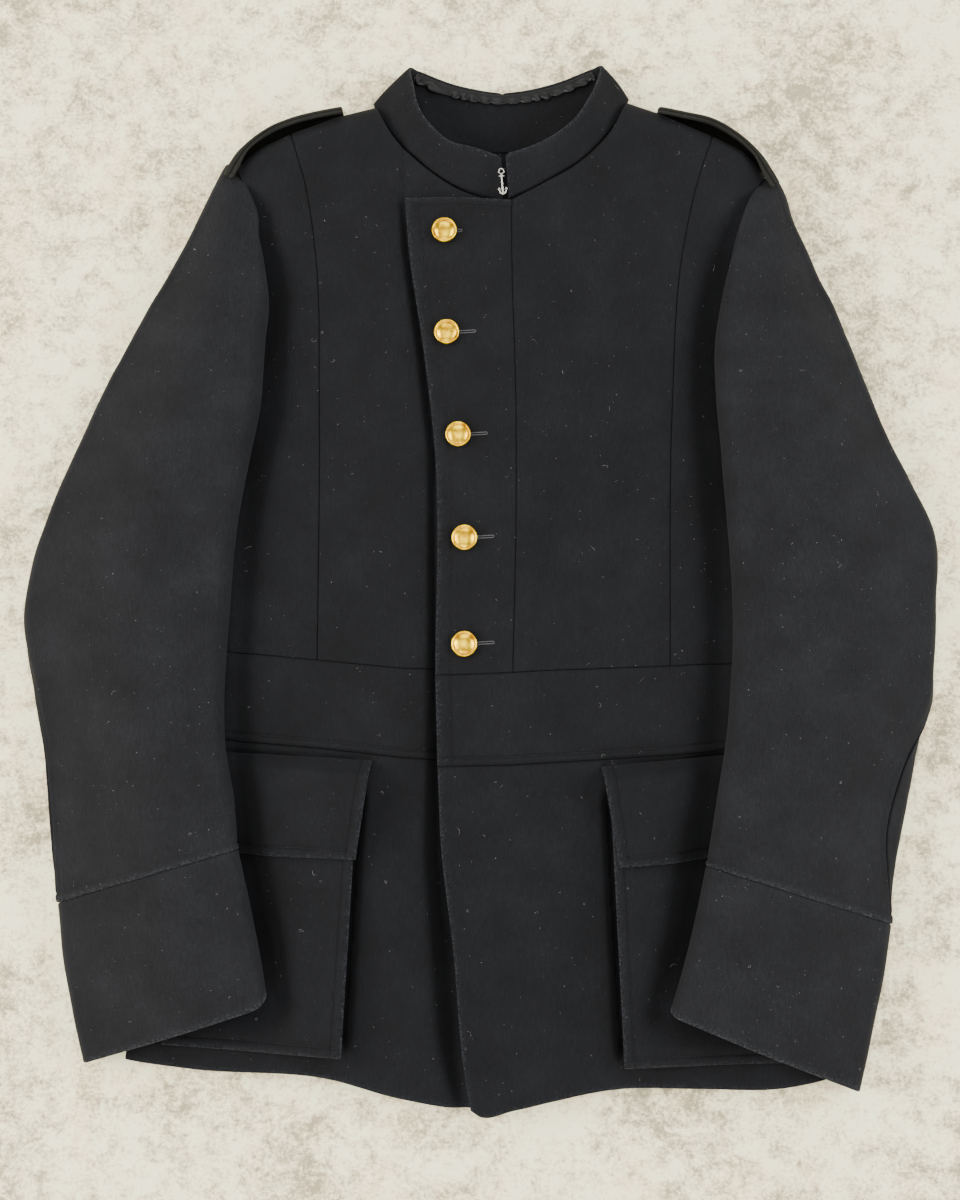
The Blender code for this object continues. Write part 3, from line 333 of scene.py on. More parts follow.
# Distances in from a side at which points are needed where the cloth rolls over it.
SIDE_TURN = np.array((0.0, 0.35, 0.8, 1.5, 2.6, 4.2, 6.2, 9.0, 12.5, 17.0, 24.0))
SHOULDER_TURN = np.array((0.0, 0.35, 0.8, 1.5, 2.6, 4.2, 6.5, 9.5, 13.5, 20.0))
EDGE_TURN = (0.0, 0.33, 0.6, 1.0, 1.7)
COLLAR_FOOT_TURN = (0.0, 0.8, 1.6, 2.6, 4.0)
COLLAR_HEAD_TURN = (0.0, 0.3, 0.7, 1.3, 2.1, 3.2)
STRAP_TURN = (0.0, 0.25, 0.6, 1.1, 1.9)
STITCH_TURN = (-2.2, -1.3, -0.7, -0.25, 0.25, 0.7, 1.3, 2.2)     # on both sides of a row of stitches
BACK_TURN = np.array((0.0, 0.35, 0.8, 1.5, 2.6, 4.2, 6.5, 10.0, 14.0))

# Beside the lapping edge, from the hem up: how far the under front sinks just outside the edge, how
# wide that trough is, and how far the edge itself stands up.
LAP_FOLD_COLUMNS = ("y", "sink", "half_width", "rise")
LAP_FOLD = (
    (-380, 4, 7, 1.5),
    (-345, 12, 9, 4),
    (-300, 15, 9, 6),
    (-200, 15, 6.5, 6.5),
    (-120, 12, 3.6, 4.5),
    (-50, 9, 2.7, 2.6),
    (60, 7, 2.6, 1.8),
    (200, 6, 2.6, 1.5),
    (280, 5, 2.6, 1),
    (318, 2, 2.6, 0.6),
)
LAP_FOLD_LEAN = 0.55    # how far outside the edge the trough is deepest, as a share of its half-width
LAP_RISE_REACH = 20.0
# How far the body sinks along a sleeve's inner edge, from the cuff up, and how wide that hollow is.
SLEEVE_HOLLOW = ((-335, 0), (-310, 8), (-270, 11), (-190, 12.5), (-110, 10), (60, 10), (200, 11), (262, 10),
                 (305, 7), (335, 2.5), (350, 0))
SLEEVE_HOLLOW_WIDTH = {"right": 13.0, "left": 16.0}
SLEEVE_HOLLOW_FADES = 45.0     # it fades over this distance from the side seam
POCKET_PRESSED = 0.75          # how much further a pocket's inner side is pressed in than the skirt
# The skirt is drawn in along the seam of a flap.
FLAP_GROOVE_OFFSET = 0.6
FLAP_GROOVE_WIDTH = 2.0
FLAP_GROOVE_DEPTH = 2.6
# The sharp trough beside a pocket's inner edge.
POCKET_TROUGH_OFFSET = 0.4
POCKET_TROUGH_WIDTH = 3.4
POCKET_TROUGH_DEPTH = 13.5
POCKET_TROUGH_FADES = 18.0
SKIRT_STEP = 2.1

POCKET_WALL = 2.4
POCKET_EDGE_SHARE = 0.88       # the pocket's turned edge stands this share of its rise
GUSSET_INSET = 8.0
GUSSET_TUCK = 2.0              # how far its middle folds in
GUSSET_WALL = 1.2
FLAP_CURL = 0.8        # the flap's free foot waves by this much over this height, this fast
FLAP_HANG = 30.0
FLAP_WAVE = 17.0

# A sleeve section's points: under its inner edge, round that edge, over its top or all round.
TUCK_COUNT = 4
ROLL_COUNT = 10
TOP_COUNT = 44
UNDER_COUNT = 26
ROUND_COUNT = 64
ARC_STEPS = 24         # points round a sleeve's rolled edge, before its section is sampled
SETTLE_FADES = 80.0
SLEEVE_SETTLES = 6.0   # how far the inner edge comes down where the body sinks beside it
BUNCH = 0.15           # length that holds the first points where a section has no inner edge to roll

COLLAR_CORNER = 3.6
COLLAR_NOTCH = (10, 2.4, 1.8)   # at the back of the top edge: section, half-width and depth
COLLAR_BELLY = 1.4
STRAP_SECTION = 65.0   # length of a strap's section down its side and under the shoulder
STRAP_SPLIT = 0.08     # half the gap between its two layers
SATIN_STEP = 0.7
SATIN_FOLD = 14.0
SATIN_SWELL = 3.4
SATIN_SCALLOP = 2.8
SATIN_SHEET = 0.8

BUTTONHOLE_START = 6.0
BUTTONHOLE_HALF = 0.9
BUTTONHOLE_TILT = 0.06
BUTTONHOLE_REACH = (14.0, 23.0, 23.0, 23.0, 23.0)
STEEPEST = 0.25                 # nothing stays on cloth whose normal has a lower z
ABOVE_ALL = 0.2                 # m, where dropped things start
FIBRE_COUNT = 300
FIBRE_RADIUS = 0.06
FIBRE_TAPER = (0.4, 0.8, 1, 1, 1, 1, 1, 0.8, 0.4)
FIBRE_DROP = 3.0                # a fibre that would hang down further than this is left out
SPECK_COUNT = 1100
SPECK_RADIUS = 0.22

# Soft ridges and troughs: x, y at each end, half-width, height (below zero a trough).
FRONT_CREASES = (
    (-176, 240, -150, 120, 16, -1.6),
    (-168, 262, -196, 60, 13, -2.0),
    (-150, 330, -120, 220, 22, 0.8),
    (-60, 250, -88, 60, 26, 0.7),
    (-112, 20, -70, -40, 20, -0.6),
    (205, 250, 176, 120, 16, -1.8),
    (196, 240, 214, 20, 14, -2.4),
    (180, 330, 140, 210, 22, 0.8),
    (96, 240, 110, 40, 28, 0.8),
    (60, 300, 118, 250, 24, -0.6),
    (60, -20, 120, 30, 22, -0.5),
    (45, -225, 58, -375, 11, 2.2),
    (70, -230, 84, -372, 13, -1.4),
    (18, -200, 26, -372, 12, -1.0),
    (-78, -140, -66, -355, 12, 1.6),
)
POCKET_CREASES = {
    "right": ((-180, -210, -176, -330, 16, -0.9), (-140, -200, -134, -330, 14, 0.8)),
    "left": ((180, -210, 186, -340, 16, -0.9), (142, -200, 146, -340, 14, 0.8)),
}
SLEEVE_CREASES = {
    "right": (
        (-182, 286, -262, 232, 15, -1.4),
        (-190, 250, -286, 168, 17, 1.2),
        (-196, 170, -262, 40, 26, -1.2),
        (-198, 40, -250, 20, 16, -1.3),
        (-196, 14, -262, -22, 15, 1.2),
        (-200, -20, -270, -60, 17, -1.5),
        (-210, -84, -330, -70, 18, 1.2),
        (-214, -120, -318, -128, 16, -1.1),
        (-230, -160, -306, -184, 16, 0.9),
    ),
    "left": (
        (208, 280, 276, 238, 15, -1.5),
        (212, 244, 300, 176, 17, 1.2),
        (214, 150, 274, 60, 26, -1.2),
        (206, 40, 280, 22, 16, -1.5),
        (204, 4, 286, -30, 16, 1.4),
        (206, -40, 290, -76, 17, -1.5),
        (214, -96, 326, -92, 18, 1.2),
        (212, -140, 310, -150, 16, -1.1),
    ),
}
CUFF_CREASES = {
    "right": ((-190, -236, -290, -262, 18, 0.7), (-180, -280, -280, -316, 16, -0.7)),
    "left": ((176, -246, 280, -276, 18, 0.7), (166, -290, 262, -326, 16, -0.7)),
}
COLLAR_CREASES = (
    (56, 392, 78, 368, 7, -1.6),
    (-52, 384, -30, 356, 8, -1.2),
    (78, 404, 100, 384, 7, 1.0),
)


# ---------------- small mathematics
def smooth(t):
    t = np.clip(t, 0.0, 1.0)
    return t * t * (3.0 - 2.0 * t)


def rolled(t):
    """Quarter ellipse from 0 to 1, upright at 0 and level at 1."""
    t = np.clip(t, 0.0, 1.0)
    return np.sqrt(1.0 - (1.0 - t) ** 2)


def follow(knots, values, at):
    """Smooth curve through one value (or point) at each knot."""
    knots, values = np.asarray(knots, float), np.asarray(values, float)
    at = np.clip(np.asarray(at, float), knots[0], knots[-1])
    slopes = np.gradient(values, knots, axis=0)
    k = np.clip(np.searchsorted(knots, at) - 1, 0, len(knots) - 2)
    span = knots[k + 1] - knots[k]
    t = (at - knots[k]) / span
    for _ in range(values.ndim - 1):
        t, span = t[..., None], span[..., None]
    rise = t * t * (3 - 2 * t)
    return (values[k] * (1 - rise) + values[k + 1] * rise
            + span * t * (1 - t) * (slopes[k] * (1 - t) - slopes[k + 1] * t))


def unit(vectors):
    """Vectors at length one."""
    return vectors / np.maximum(np.linalg.norm(vectors, axis=-1, keepdims=True), 1e-9)


def lengths_along(points):
    return np.append(0.0, np.cumsum(np.linalg.norm(np.diff(np.asarray(points, float), axis=0), axis=1)))


def sampled(points, length, at):
    """Points of a path at given lengths along it."""
    return np.stack([np.interp(at, length, points[:, k]) for k in range(3)], axis=-1)


def edge(*runs):
    """Curve over fractions of runs of plan points, cornered where two runs meet."""
    sizes = [lengths_along(run)[-1] for run in runs]
    starts = np.append(0.0, np.cumsum(sizes))

    def place(fractions):
        at = np.asarray(fractions, float) * starts[-1]
        found = np.zeros((*at.shape, 2))
        for number, run in enumerate(runs):
            here = (at >= starts[number] - 1e-9) & (at <= starts[number + 1] + 1e-9)
            found[here] = follow(lengths_along(run), run, at[here] - starts[number])
        return found

    return place


def straights(line):
    """A broken line as separate straight runs."""
    return tuple(zip(line[:-1], line[1:]))


def between(start, end):
    """Straight edge from one point to another."""
    start, end = np.asarray(start, float), np.asarray(end, float)
    return lambda t: start + np.asarray(t, float)[..., None] * (end - start)


def level(line, start, end):
    """Edge on a broken line, between two x."""
    def place(t):
        xs = start + np.asarray(t, float) * (end - start)
        return np.stack((xs, np.interp(xs, *np.array(line, float).T)), axis=-1)

    return place


def joining(foot, head, at):
    """Straight edge between the same ends, 0 or 1, of a foot and a head."""
    return between(foot(at), head(at))


def read(rows, names, name, at):
    """Smooth curve through a column of a table, over its first column."""
    table = np.array(rows, float)
    return follow(table[:, 0], table[:, names.index(name)], at)


def unevenness(x, y, size, seed):
    """Smooth random heights from -1 to 1 over a plane, with hills about one size apart."""
    grid = np.random.default_rng(seed).uniform(-1, 1, (64, 64))
    u = np.asarray(x, float) / size + 200.0
    v = np.asarray(y, float) / size + 200.0
    i, j = np.floor(u).astype(int), np.floor(v).astype(int)
    a, b = smooth(u - i), smooth(v - j)
    low, high = (grid[i % 64, k % 64] * (1 - a) + grid[(i + 1) % 64, k % 64] * a for k in (j, j + 1))
    return low * (1 - b) + high * b


def waves(x, y, seed, *layers):
    """Random heights added up from layers of (size of the hills, height)."""
    return sum(height * unevenness(x, y, size, seed + k) for k, (size, height) in enumerate(layers))


def creased(x, y, table):
    """Height added by a table of soft ridges and troughs."""
    added = np.zeros_like(np.asarray(x, float))
    for x1, y1, x2, y2, half_width, height in table:
        across, up = x2 - x1, y2 - y1
        length = math.hypot(across, up)
        t = ((x - x1) * across + (y - y1) * up) / length**2
        off = ((x - x1) * up - (y - y1) * across) / length + 0.25 * half_width * np.sin(5.0 * t + x1)
        added += height * smooth(t / 0.3) * smooth((1 - t) / 0.3) * np.exp(-(off / half_width) ** 2)
    return added


# ---------------- heights of the layers
def body_at(y, name):
    return read(BODY, BODY_COLUMNS, name, y)


def side_distance(x, y):
    """Distance in from the nearer side seam."""
    return np.minimum(x - body_at(y, "right"), body_at(y, "left") - x)


def shoulder_distance(x, y):
    """Distance down from the shoulder line, which runs straight over the open neck."""
    line = np.array(SHOULDER["right"][::-1] + SHOULDER["left"], float)
    return (np.interp(x, *line.T) - y) * SHOULDER_SLANT


def front_height(x, y):
    """Height of the under front's face."""
    right, left = (body_at(y, side) for side in PAIR)
    off_centre = np.abs(x - 0.5 * (left + right)) / (0.5 * (left - right))
    middle = body_at(y, "middle")
    flat = middle + (body_at(y, "side") - middle) * smooth(off_centre)
    side = SIDE_MIDDLE + FOLD_GAP
    shoulder = SHOULDER_MIDDLE + FOLD_GAP
    body = side + (flat - side) * rolled(side_distance(x, y) / SIDE_ROLL)
    return shoulder + (body - shoulder) * rolled(shoulder_distance(x, y) / SHOULDER_ROLL)


def over_height(x, y):
    """Height of the over front's face."""
    start, end = LAP_FADES
    return front_height(x, y) + LAP_LIFT * (1.0 - smooth((x - start) / (end - start)))


def back_height(x, y):
    """Height of the back's underside."""
    shoulder = SHOULDER_MIDDLE - FOLD_GAP
    body = (SIDE_MIDDLE - FOLD_GAP) * (1.0 - rolled(side_distance(x, y) / BACK_ROLL))
    return shoulder + (body - shoulder) * rolled(shoulder_distance(x, y) / SHOULDER_ROLL)


def slopes_of(height, plan):
    """Upward unit normals of a height function at plan points."""
    probe = 0.05
    x, y = np.moveaxis(plan, -1, 0)
    dx = (height(x + probe, y) - height(x - probe, y)) / (2 * probe)
    dy = (height(x, y + probe) - height(x, y - probe)) / (2 * probe)
    return unit(np.stack((-dx, -dy, np.ones_like(dx)), axis=-1))


def cloth_relief(x, y, table, seed):
    """Creases, and the slow unevenness of heavy cloth that has been worn and pressed."""
    return creased(x, y, table) + waves(x, y, seed, (46.0, 0.35), (19.0, 0.14))


def beside(line, x, y):
    """Distance to the wearer's left of a line that runs up the jacket."""
    xs, ys = np.array(line, float).T
    return x - np.interp(y, ys, xs)


def beside_lap(x, y):
    return beside(SKIRT_LAP_EDGE + LAP_EDGE, x, y)


def lap_fold(y, name):
    return read(LAP_FOLD, LAP_FOLD_COLUMNS, name, y)


def sleeve_hollow(x, y):
    """How far the body sinks beside and under the sleeves."""
    depth = np.interp(y, *np.array(SLEEVE_HOLLOW, float).T)
    depth = depth * smooth(side_distance(x, y) / SLEEVE_HOLLOW_FADES)
    share = 0.0
    for side in PAIR:
        off = INWARD[side] * beside([row[:2] for row in (SLEEVE[side] + CUFF[side])[::-1]], x, y)
        share = share + np.exp(-(np.clip(off, 0, None) / SLEEVE_HOLLOW_WIDTH[side]) ** 2)
    return depth * share


def pocket_trough(side, x, y):
    """How far the skirt sinks along the inner edge of a pocket."""
    foot, top = POCKET[side][1:3]
    off = INWARD[side] * beside((foot, top), x, y) - POCKET_TROUGH_OFFSET
    run = smooth((y - foot[1]) / POCKET_TROUGH_FADES) * smooth((top[1] - y) / POCKET_TROUGH_FADES)
    return POCKET_TROUGH_DEPTH * run * np.exp(-((off / POCKET_TROUGH_WIDTH) ** 2))


def flap_groove(side, x, y):
    """How far the skirt sinks along the seam of a flap."""
    (x1, y1), (x2, y2) = sorted(FLAP[side][2:])
    off = y - np.interp(x, (x1, x2), (y1, y2)) - FLAP_GROOVE_OFFSET
    run = smooth((x - x1 + 1) / 2) * smooth((x2 + 1 - x) / 2)
    return FLAP_GROOVE_DEPTH * run * np.exp(-((off / FLAP_GROOVE_WIDTH) ** 2))


def front_relief(x, y):
    """One relief for all the fronts, so that neighbours meet at their seams."""
    return cloth_relief(x, y, FRONT_CREASES, 3) - sleeve_hollow(x, y)


def under_relief(x, y):
    """The under front's relief: it sinks just outside the lapping edge and beside its pocket."""
    off = beside_lap(x, y) / lap_fold(y, "half_width") + LAP_FOLD_LEAN
    return (front_relief(x, y) - lap_fold(y, "sink") * np.exp(-(off**2)) - pocket_trough("right", x, y)
            - flap_groove("right", x, y))


def over_relief(x, y):
    """The over front's relief: its edge stands up along the lap."""
    rise = lap_fold(y, "rise") * np.exp(-np.clip(beside_lap(x, y), 0, None) / LAP_RISE_REACH)
    return front_relief(x, y) + rise - pocket_trough("left", x, y) - flap_groove("left", x, y)


FRONT = {"right": (front_height, under_relief), "left": (over_height, over_relief)}


# ---------------- meshes
def mesh_from(name, points, faces, material, wear=None):
    """Object that rides with the jacket, from pattern points in mm.

    The rubbed-edge value says how far each point is lightened, from 0 to 1: partly rubbed nap, partly painted
    highlight.
    """
    mesh = bpy.data.meshes.new(name)
    mesh.from_pydata(((points + ORIGIN) * MM).tolist(), [], faces.tolist())
    if wear is not None:
        mesh.attributes.new("wear", "FLOAT", "POINT").data.foreach_set("value", wear.astype(np.float32))
    mesh.shade_smooth()
    mesh.set_sharp_from_angle(angle=SHARP_ANGLE)
    mesh.materials.append(material)
    made = add_object(name, mesh)
    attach(made, BODY_NAME)
    return made


def add_object(name, data):
    made = bpy.data.objects.new(name, data)
    bpy.context.scene.collection.objects.link(made)
    return made


def grid_faces(number):
    return np.stack((number[:-1, :-1], number[:-1, 1:], number[1:, 1:], number[1:, :-1]), -1).reshape(-1, 4)


def shell(face, back):
    """Points and faces of a closed cloth wall between the grid of its face and the grid of its back."""
    top = np.arange(face[..., 0].size).reshape(face.shape[:2])
    under = top + top.size
    rims = [np.stack((top[line], under[line]), 1) for line in (0, -1)]
    rims += [np.stack((top[:, line], under[:, line])) for line in (0, -1)]
    faces = [grid_faces(top), grid_faces(under)[:, ::-1]]
    faces += [grid_faces(rim)[:, ::turn] for rim, turn in zip(rims, (1, -1, 1, -1))]
    points = np.concatenate((face.reshape(-1, 3), back.reshape(-1, 3)))
    return points, outward(points, np.concatenate(faces))


def outward(points, faces):
    """The faces of a closed mesh, turned so that they point out of it."""
    a, b, c, d = (points[faces[:, k]] for k in range(4))
    volume = (a * np.cross(b, c)).sum() + (a * np.cross(c, d)).sum()
    return faces if volume > 0 else faces[:, ::-1]


def joined(shells):
    """Several (points, faces) as one."""
    starts = np.cumsum([0] + [len(points) for points, _ in shells])
    return (np.concatenate([points for points, _ in shells]),
            np.concatenate([faces + start for (_, faces), start in zip(shells, starts)]))


def fillet(distance, radius):
    """How far a rounded edge falls away, at a distance in from it."""
    inside = np.clip(1.0 - distance / radius, 0.0, 1.0)
    return radius * (1.0 - np.sqrt(1.0 - inside**2))


# ---------------- a piece of cloth
SIDES = ("low", "high", "foot", "head")
FREE = {"right": "high", "left": "low"}     # a front's free edge
stitch_lines = []      # (points, normals) of every row of stitches, for the stitching


class Piece:
    """A cloth piece as a grid: points of its face, normals, and distances in from its four sides.

    Low and high are the first and last column, foot and head the first and last row.
    """

    def __init__(self, face, normal, distances):
        self.face = face
        self.normal = normal
        self.away = distances
        self.hold = 1.0        # how far rows of stitches show in the cloth
        self.folded = {}       # for each turned side, whether it is a folded edge or a seam
        self.rows_of_stitches = []

    def lift(self, height):
        self.face = self.face + self.normal * height[..., None]

    def run_of(self, side):
        """Distance along a side."""
        return self.away["foot" if side in ("low", "high") else "low"]

    def sew(self, seams="", folds="", puckers=""):
        """Turn the cloth down into its seams or over at its edges, with small waves beside some."""
        self.folded.update(dict.fromkeys(seams.split(), False) | dict.fromkeys(folds.split(), True))
        for side in puckers.split():
            wave = unevenness(self.run_of(side), self.away[side] * 0.2, 1.3 * PUCKER_LENGTH, len(side))
            self.lift(0.8 * PUCKER * wave * np.exp(-self.away[side] / PUCKER_REACH))
        return self

    def stitch(self, side, offset, start=0.0, end=1.0, swell=EDGE_SWELL, sink=CHANNEL_SINK, thread=True):
        """A row of stitches at an offset from a side, with the cloth swelling between it and the side."""
        away, run = self.away[side], self.run_of(side)
        share = run / np.maximum(run.max(), 1e-6)
        held = smooth((share - start) / 0.02 + 1) * smooth((end - share) / 0.02 + 1)
        channel = np.exp(-((away - offset) / CHANNEL_WIDTH) ** 2)
        bulge = np.clip(away / offset, 0, 1) * np.clip(1 - away / offset, 0, 1) * 4
        wave = unevenness(run, away * 0.3, PUCKER_LENGTH, int(offset * 10) + len(side))
        near = np.exp(-(np.abs(away - offset) / PUCKER_REACH) ** 2)
        self.lift(self.hold * held * (swell * bulge - sink * channel + PUCKER * wave * near))
        if thread:
            self.rows_of_stitches.append((side, offset, start, end))

    def line_at(self, side, offset, start, end):
        """Points and normals along a side, at an offset in from it."""
        grids = [self.away[side][..., None], self.face, self.normal]
        if side in ("foot", "head"):
            grids = [grid.swapaxes(0, 1) for grid in grids]
        if side in ("high", "head"):
            grids = [grid[:, ::-1] for grid in grids]
        points, normals = (np.array([sampled(row, away[:, 0], offset) for away, row in zip(grids[0], grid)])
                           for grid in grids[1:])
        share = lengths_along(points)
        share /= share[-1]
        kept = (share >= start) & (share <= end)
        return points[kept], normals[kept]

    def walls(self, wall):
        """The closed wall: face and back grids with their seams and edges turned."""
        drop = under = np.zeros(self.face.shape[:2])
        for side, folded in self.folded.items():
            drop = np.maximum(drop, fillet(self.away[side], EDGE_SHARE * wall if folded else SEAM_ROUND))
            if folded:
                under = np.maximum(under, fillet(self.away[side], (0.98 - EDGE_SHARE) * wall))
        stitch_lines.extend(self.line_at(*row) for row in self.rows_of_stitches)
        return shell(self.face - drop[..., None] * self.normal,
                     self.face - (wall - under)[..., None] * self.normal)

    def wear(self):
        """How far each point of the wall is lightened: most along its turned edges, partly rubbed nap and
        partly painted highlight.
        """
        near = [np.exp(-self.away[side] / RUB_AND_HIGHLIGHT_REACH) for side, folded in self.folded.items() if folded]
        return np.tile(np.max([np.zeros(self.face.shape[:2]), *near], axis=0).ravel(), 2)


def reach(across, wide, up, tall):
    """Distances in from the four sides, from those in from the low side and from the foot."""
    return dict(zip(SIDES, np.broadcast_arrays(across, wide - across, up, tall - up)))


def near_edge(*lines, turn=EDGE_TURN):
    """Distances in from a side at which a piece needs points: its turned edge and its rows of stitches."""
    near = list(turn)
    for line in sorted(lines):
        start = line + STITCH_TURN[0]
        gap = start - near[-1]
        if gap > PANEL_STEP:
            near += list(np.linspace(near[-1], start, int(gap / PANEL_STEP) + 2)[1:-1])
        near += [line + off for off in STITCH_TURN]
    return np.array(near)


def spaced(lengths, step, low, high):
    """Fractions across rows of the given lengths: set distances near both ends, even in between."""
    lengths = np.atleast_1d(np.asarray(lengths, float))[:, None]
    count = max(2, int(round((lengths.max() - low[-1] - high[-1]) / step)))
    start, end = low[-1] / lengths, 1 - high[-1] / lengths
    between_them = start + np.linspace(0, 1, count + 1)[1:-1] * (end - start)
    return np.hstack((low / lengths, between_them, 1 - high[::-1] / lengths))


def draw_in(plan, gap):
    """Pull the outline of a plan grid in by a gap, so that it clears its neighbours at the seams."""
    drawn = plan.copy()
    for old, new in ((plan, drawn), (plan.swapaxes(0, 1), drawn.swapaxes(0, 1))):
        for rim, nextin in ((0, 1), (-1, -2)):
            new[rim] += gap * unit(old[nextin] - old[rim])
    return drawn


def patch(foot, head, low, high, step, /, **near):
    """Plan grid between four edges, and distances in from them.

    Foot and head run from low to high, low and high from foot to head. near holds the distances at
    which a side needs points, where it is more than a plain seam.
    """
    near = {side: near.get(side, near_edge()) for side in SIDES}
    rows = np.linspace(0, 1, 60)
    climb = lengths_along(low(rows))
    climb /= climb[-1]

    def place(u, t):
        v = np.interp(t, rows, climb)[..., None]
        w = u[..., None]
        corners = (1 - v) * joining_ends(foot, w) + v * joining_ends(head, w)
        return (1 - v) * foot(u) + v * head(u) + (1 - w) * low(t) + w * high(t) - corners

    many = np.linspace(0, 1, 25)
    tall = np.array([lengths_along(place(np.full(25, u), many))[-1] for u in many])
    nominal = spaced(tall.max(), step, near["foot"], near["head"])[0]
    wide = np.array([lengths_along(place(many, np.full(25, t)))[-1] for t in nominal])
    across = spaced(wide, step, near["low"], near["high"])
    tall = np.interp(across.mean(axis=0), many, tall)
    up = spaced(tall, step, near["foot"], near["head"]).T
    count = min(len(up), len(nominal))
    across, up, wide = across[:count], up[:count], wide[:count, None]
    return place(across, up), reach(across * wide, wide, up * tall, tall)


def joining_ends(line, w):
    return (1 - w) * line(0.0) + w * line(1.0)


def panel(patched, height, relief, proud=0.0, upward=True):
    """Cloth piece on a height function, facing up or down."""
    plan, distances = patched
    x, y = np.moveaxis(plan, -1, 0)
    face = np.dstack((draw_in(plan, 0.5 * SEAM_GAP if upward else 0.0), height(x, y)))
    made = Piece(face, slopes_of(height, plan) * (1 if upward else -1), distances)
    made.lift(proud + relief(x, y))
    return made


# ---------------- the body's panels
def side_seam(side, low_y, high_y):
    """Edge up a side seam."""
    def place(fractions):
        ys = low_y + np.asarray(fractions, float) * (high_y - low_y)
        return np.stack((body_at(ys, side), ys), axis=-1)

    return place


def band_side(side):
    return side_seam(side, BAND_FOOT[END[side]][1], WAIST_SEAM[END[side]][1])


def skirt_side(side, shorter=0):
    return side_seam(side, HEM_CORNER_Y[side] + shorter, BAND_FOOT[END[side]][1])


def bodice_edge(side, armhole):
    """Edge up the side seam and on round the armhole."""
    seam = side_seam(side, WAIST_SEAM[END[side]][1], UNDERARM_Y)
    hole = edge(armhole[side])

    def place(fractions):
        t = np.asarray(fractions, float)
        return np.where((t < UNDERARM_SHARE)[..., None], seam(np.clip(t / UNDERARM_SHARE, 0, 1)),
                        hole(np.clip((t - UNDERARM_SHARE) / (1 - UNDERARM_SHARE), 0, 1)))

    return place


def front_side(side):
    patched = patch(level(WAIST_SEAM, WAIST_SEAM[END[side]][0], PRINCESS[side][0][0]),
                    edge(*straights(SHOULDER[side][:1:-1])), bodice_edge(side, ARMHOLE), edge(PRINCESS[side]),
                    PANEL_STEP, low=SIDE_TURN, head=SHOULDER_TURN)
    return panel(patched, front_height, front_relief).sew("high foot head", puckers="high low foot")


def front_right_centre():
    foot = level(WAIST_SEAM, PRINCESS["right"][0][0], UNDERLAP_X)
    top = (UNDERLAP_X, 313.0)
    head = edge(*straights(SHOULDER["right"][2::-1]), NECK["right"][::-1], (NECK["right"][0], top))
    patched = patch(foot, head, edge(PRINCESS["right"]), between(foot(1.0), top), PANEL_STEP,
                    head=SHOULDER_TURN)
    return panel(patched, *FRONT["right"]).sew("low foot head", "high", "low foot head")


def front_left_placket():
    patched = patch(level(OVER_WAIST_SEAM, LAP_EDGE[0][0], PLACKET_SEAM[0][0]), edge(LAP_TOP),
                    edge(LAP_EDGE), edge(PLACKET_SEAM), PANEL_STEP,
                    low=near_edge(LAP_STITCH), head=near_edge(TOP_STITCH))
    made = panel(patched, *FRONT["left"])
    made.stitch("low", LAP_STITCH, swell=0.5 * EDGE_SWELL, sink=0.5 * CHANNEL_SINK)
    made.stitch("head", TOP_STITCH, start=0.1, sink=0.6 * CHANNEL_SINK)
    return made.sew("high foot", "low head", "high foot")


def front_left_centre():
    patched = patch(level(OVER_WAIST_SEAM, PLACKET_SEAM[0][0], PRINCESS["left"][0][0]),
                    edge(NECK["left"], *straights(SHOULDER["left"][:3])),
                    edge(PLACKET_SEAM), edge(PRINCESS["left"]), PANEL_STEP, head=SHOULDER_TURN)
    return panel(patched, *FRONT["left"]).sew("low high foot head", puckers="low high foot head")


def waistband(side):
    """Front waistband between its two seams, with a row of stitches along the lower one."""
    near = {"foot": near_edge(BAND_FOOT_STITCH)}
    if side == "right":
        foot, head = (level(line, line[0][0], UNDERLAP_X) for line in (BAND_FOOT, WAIST_SEAM))
        edges = band_side(side), joining(foot, head, 1.0)
        near["low"] = SIDE_TURN
    else:
        foot, head = (level(line, line[0][0], line[-1][0]) for line in (OVER_BAND_FOOT, OVER_WAIST_SEAM))
        edges = joining(foot, head, 0.0), band_side(side)
        near |= {"low": near_edge(LAP_STITCH), "high": SIDE_TURN}
    made = panel(patch(foot, head, *edges, PANEL_STEP, **near), *FRONT[side], proud=BAND_PROUD)
    made.stitch("foot", BAND_FOOT_STITCH, swell=BAND_FOOT_SWELL)
    if side == "left":
        made.stitch("low", LAP_STITCH)
    return made.sew("foot head", FREE[side], "head")


def skirt(side):
    """Front skirt from the waistband's foot seam to the hem."""
    seam = skirt_side(side)
    corner = tuple(seam(0.0))
    if side == "right":
        foot, head = edge((corner, *HEM[side])), level(BAND_FOOT, seam(1.0)[0], UNDERLAP_X)
        patched = patch(foot, head, seam, joining(foot, head, 1.0), SKIRT_STEP, low=SIDE_TURN)
    else:
        foot = edge((*HEM[side], corner))
        head = level(OVER_BAND_FOOT, SKIRT_LAP_EDGE[-1][0], BAND_FOOT[-1][0])
        patched = patch(foot, head, edge(SKIRT_LAP_EDGE), seam, SKIRT_STEP, high=SIDE_TURN)
    return panel(patched, *FRONT[side]).sew("head", FREE[side] + " foot", "head")


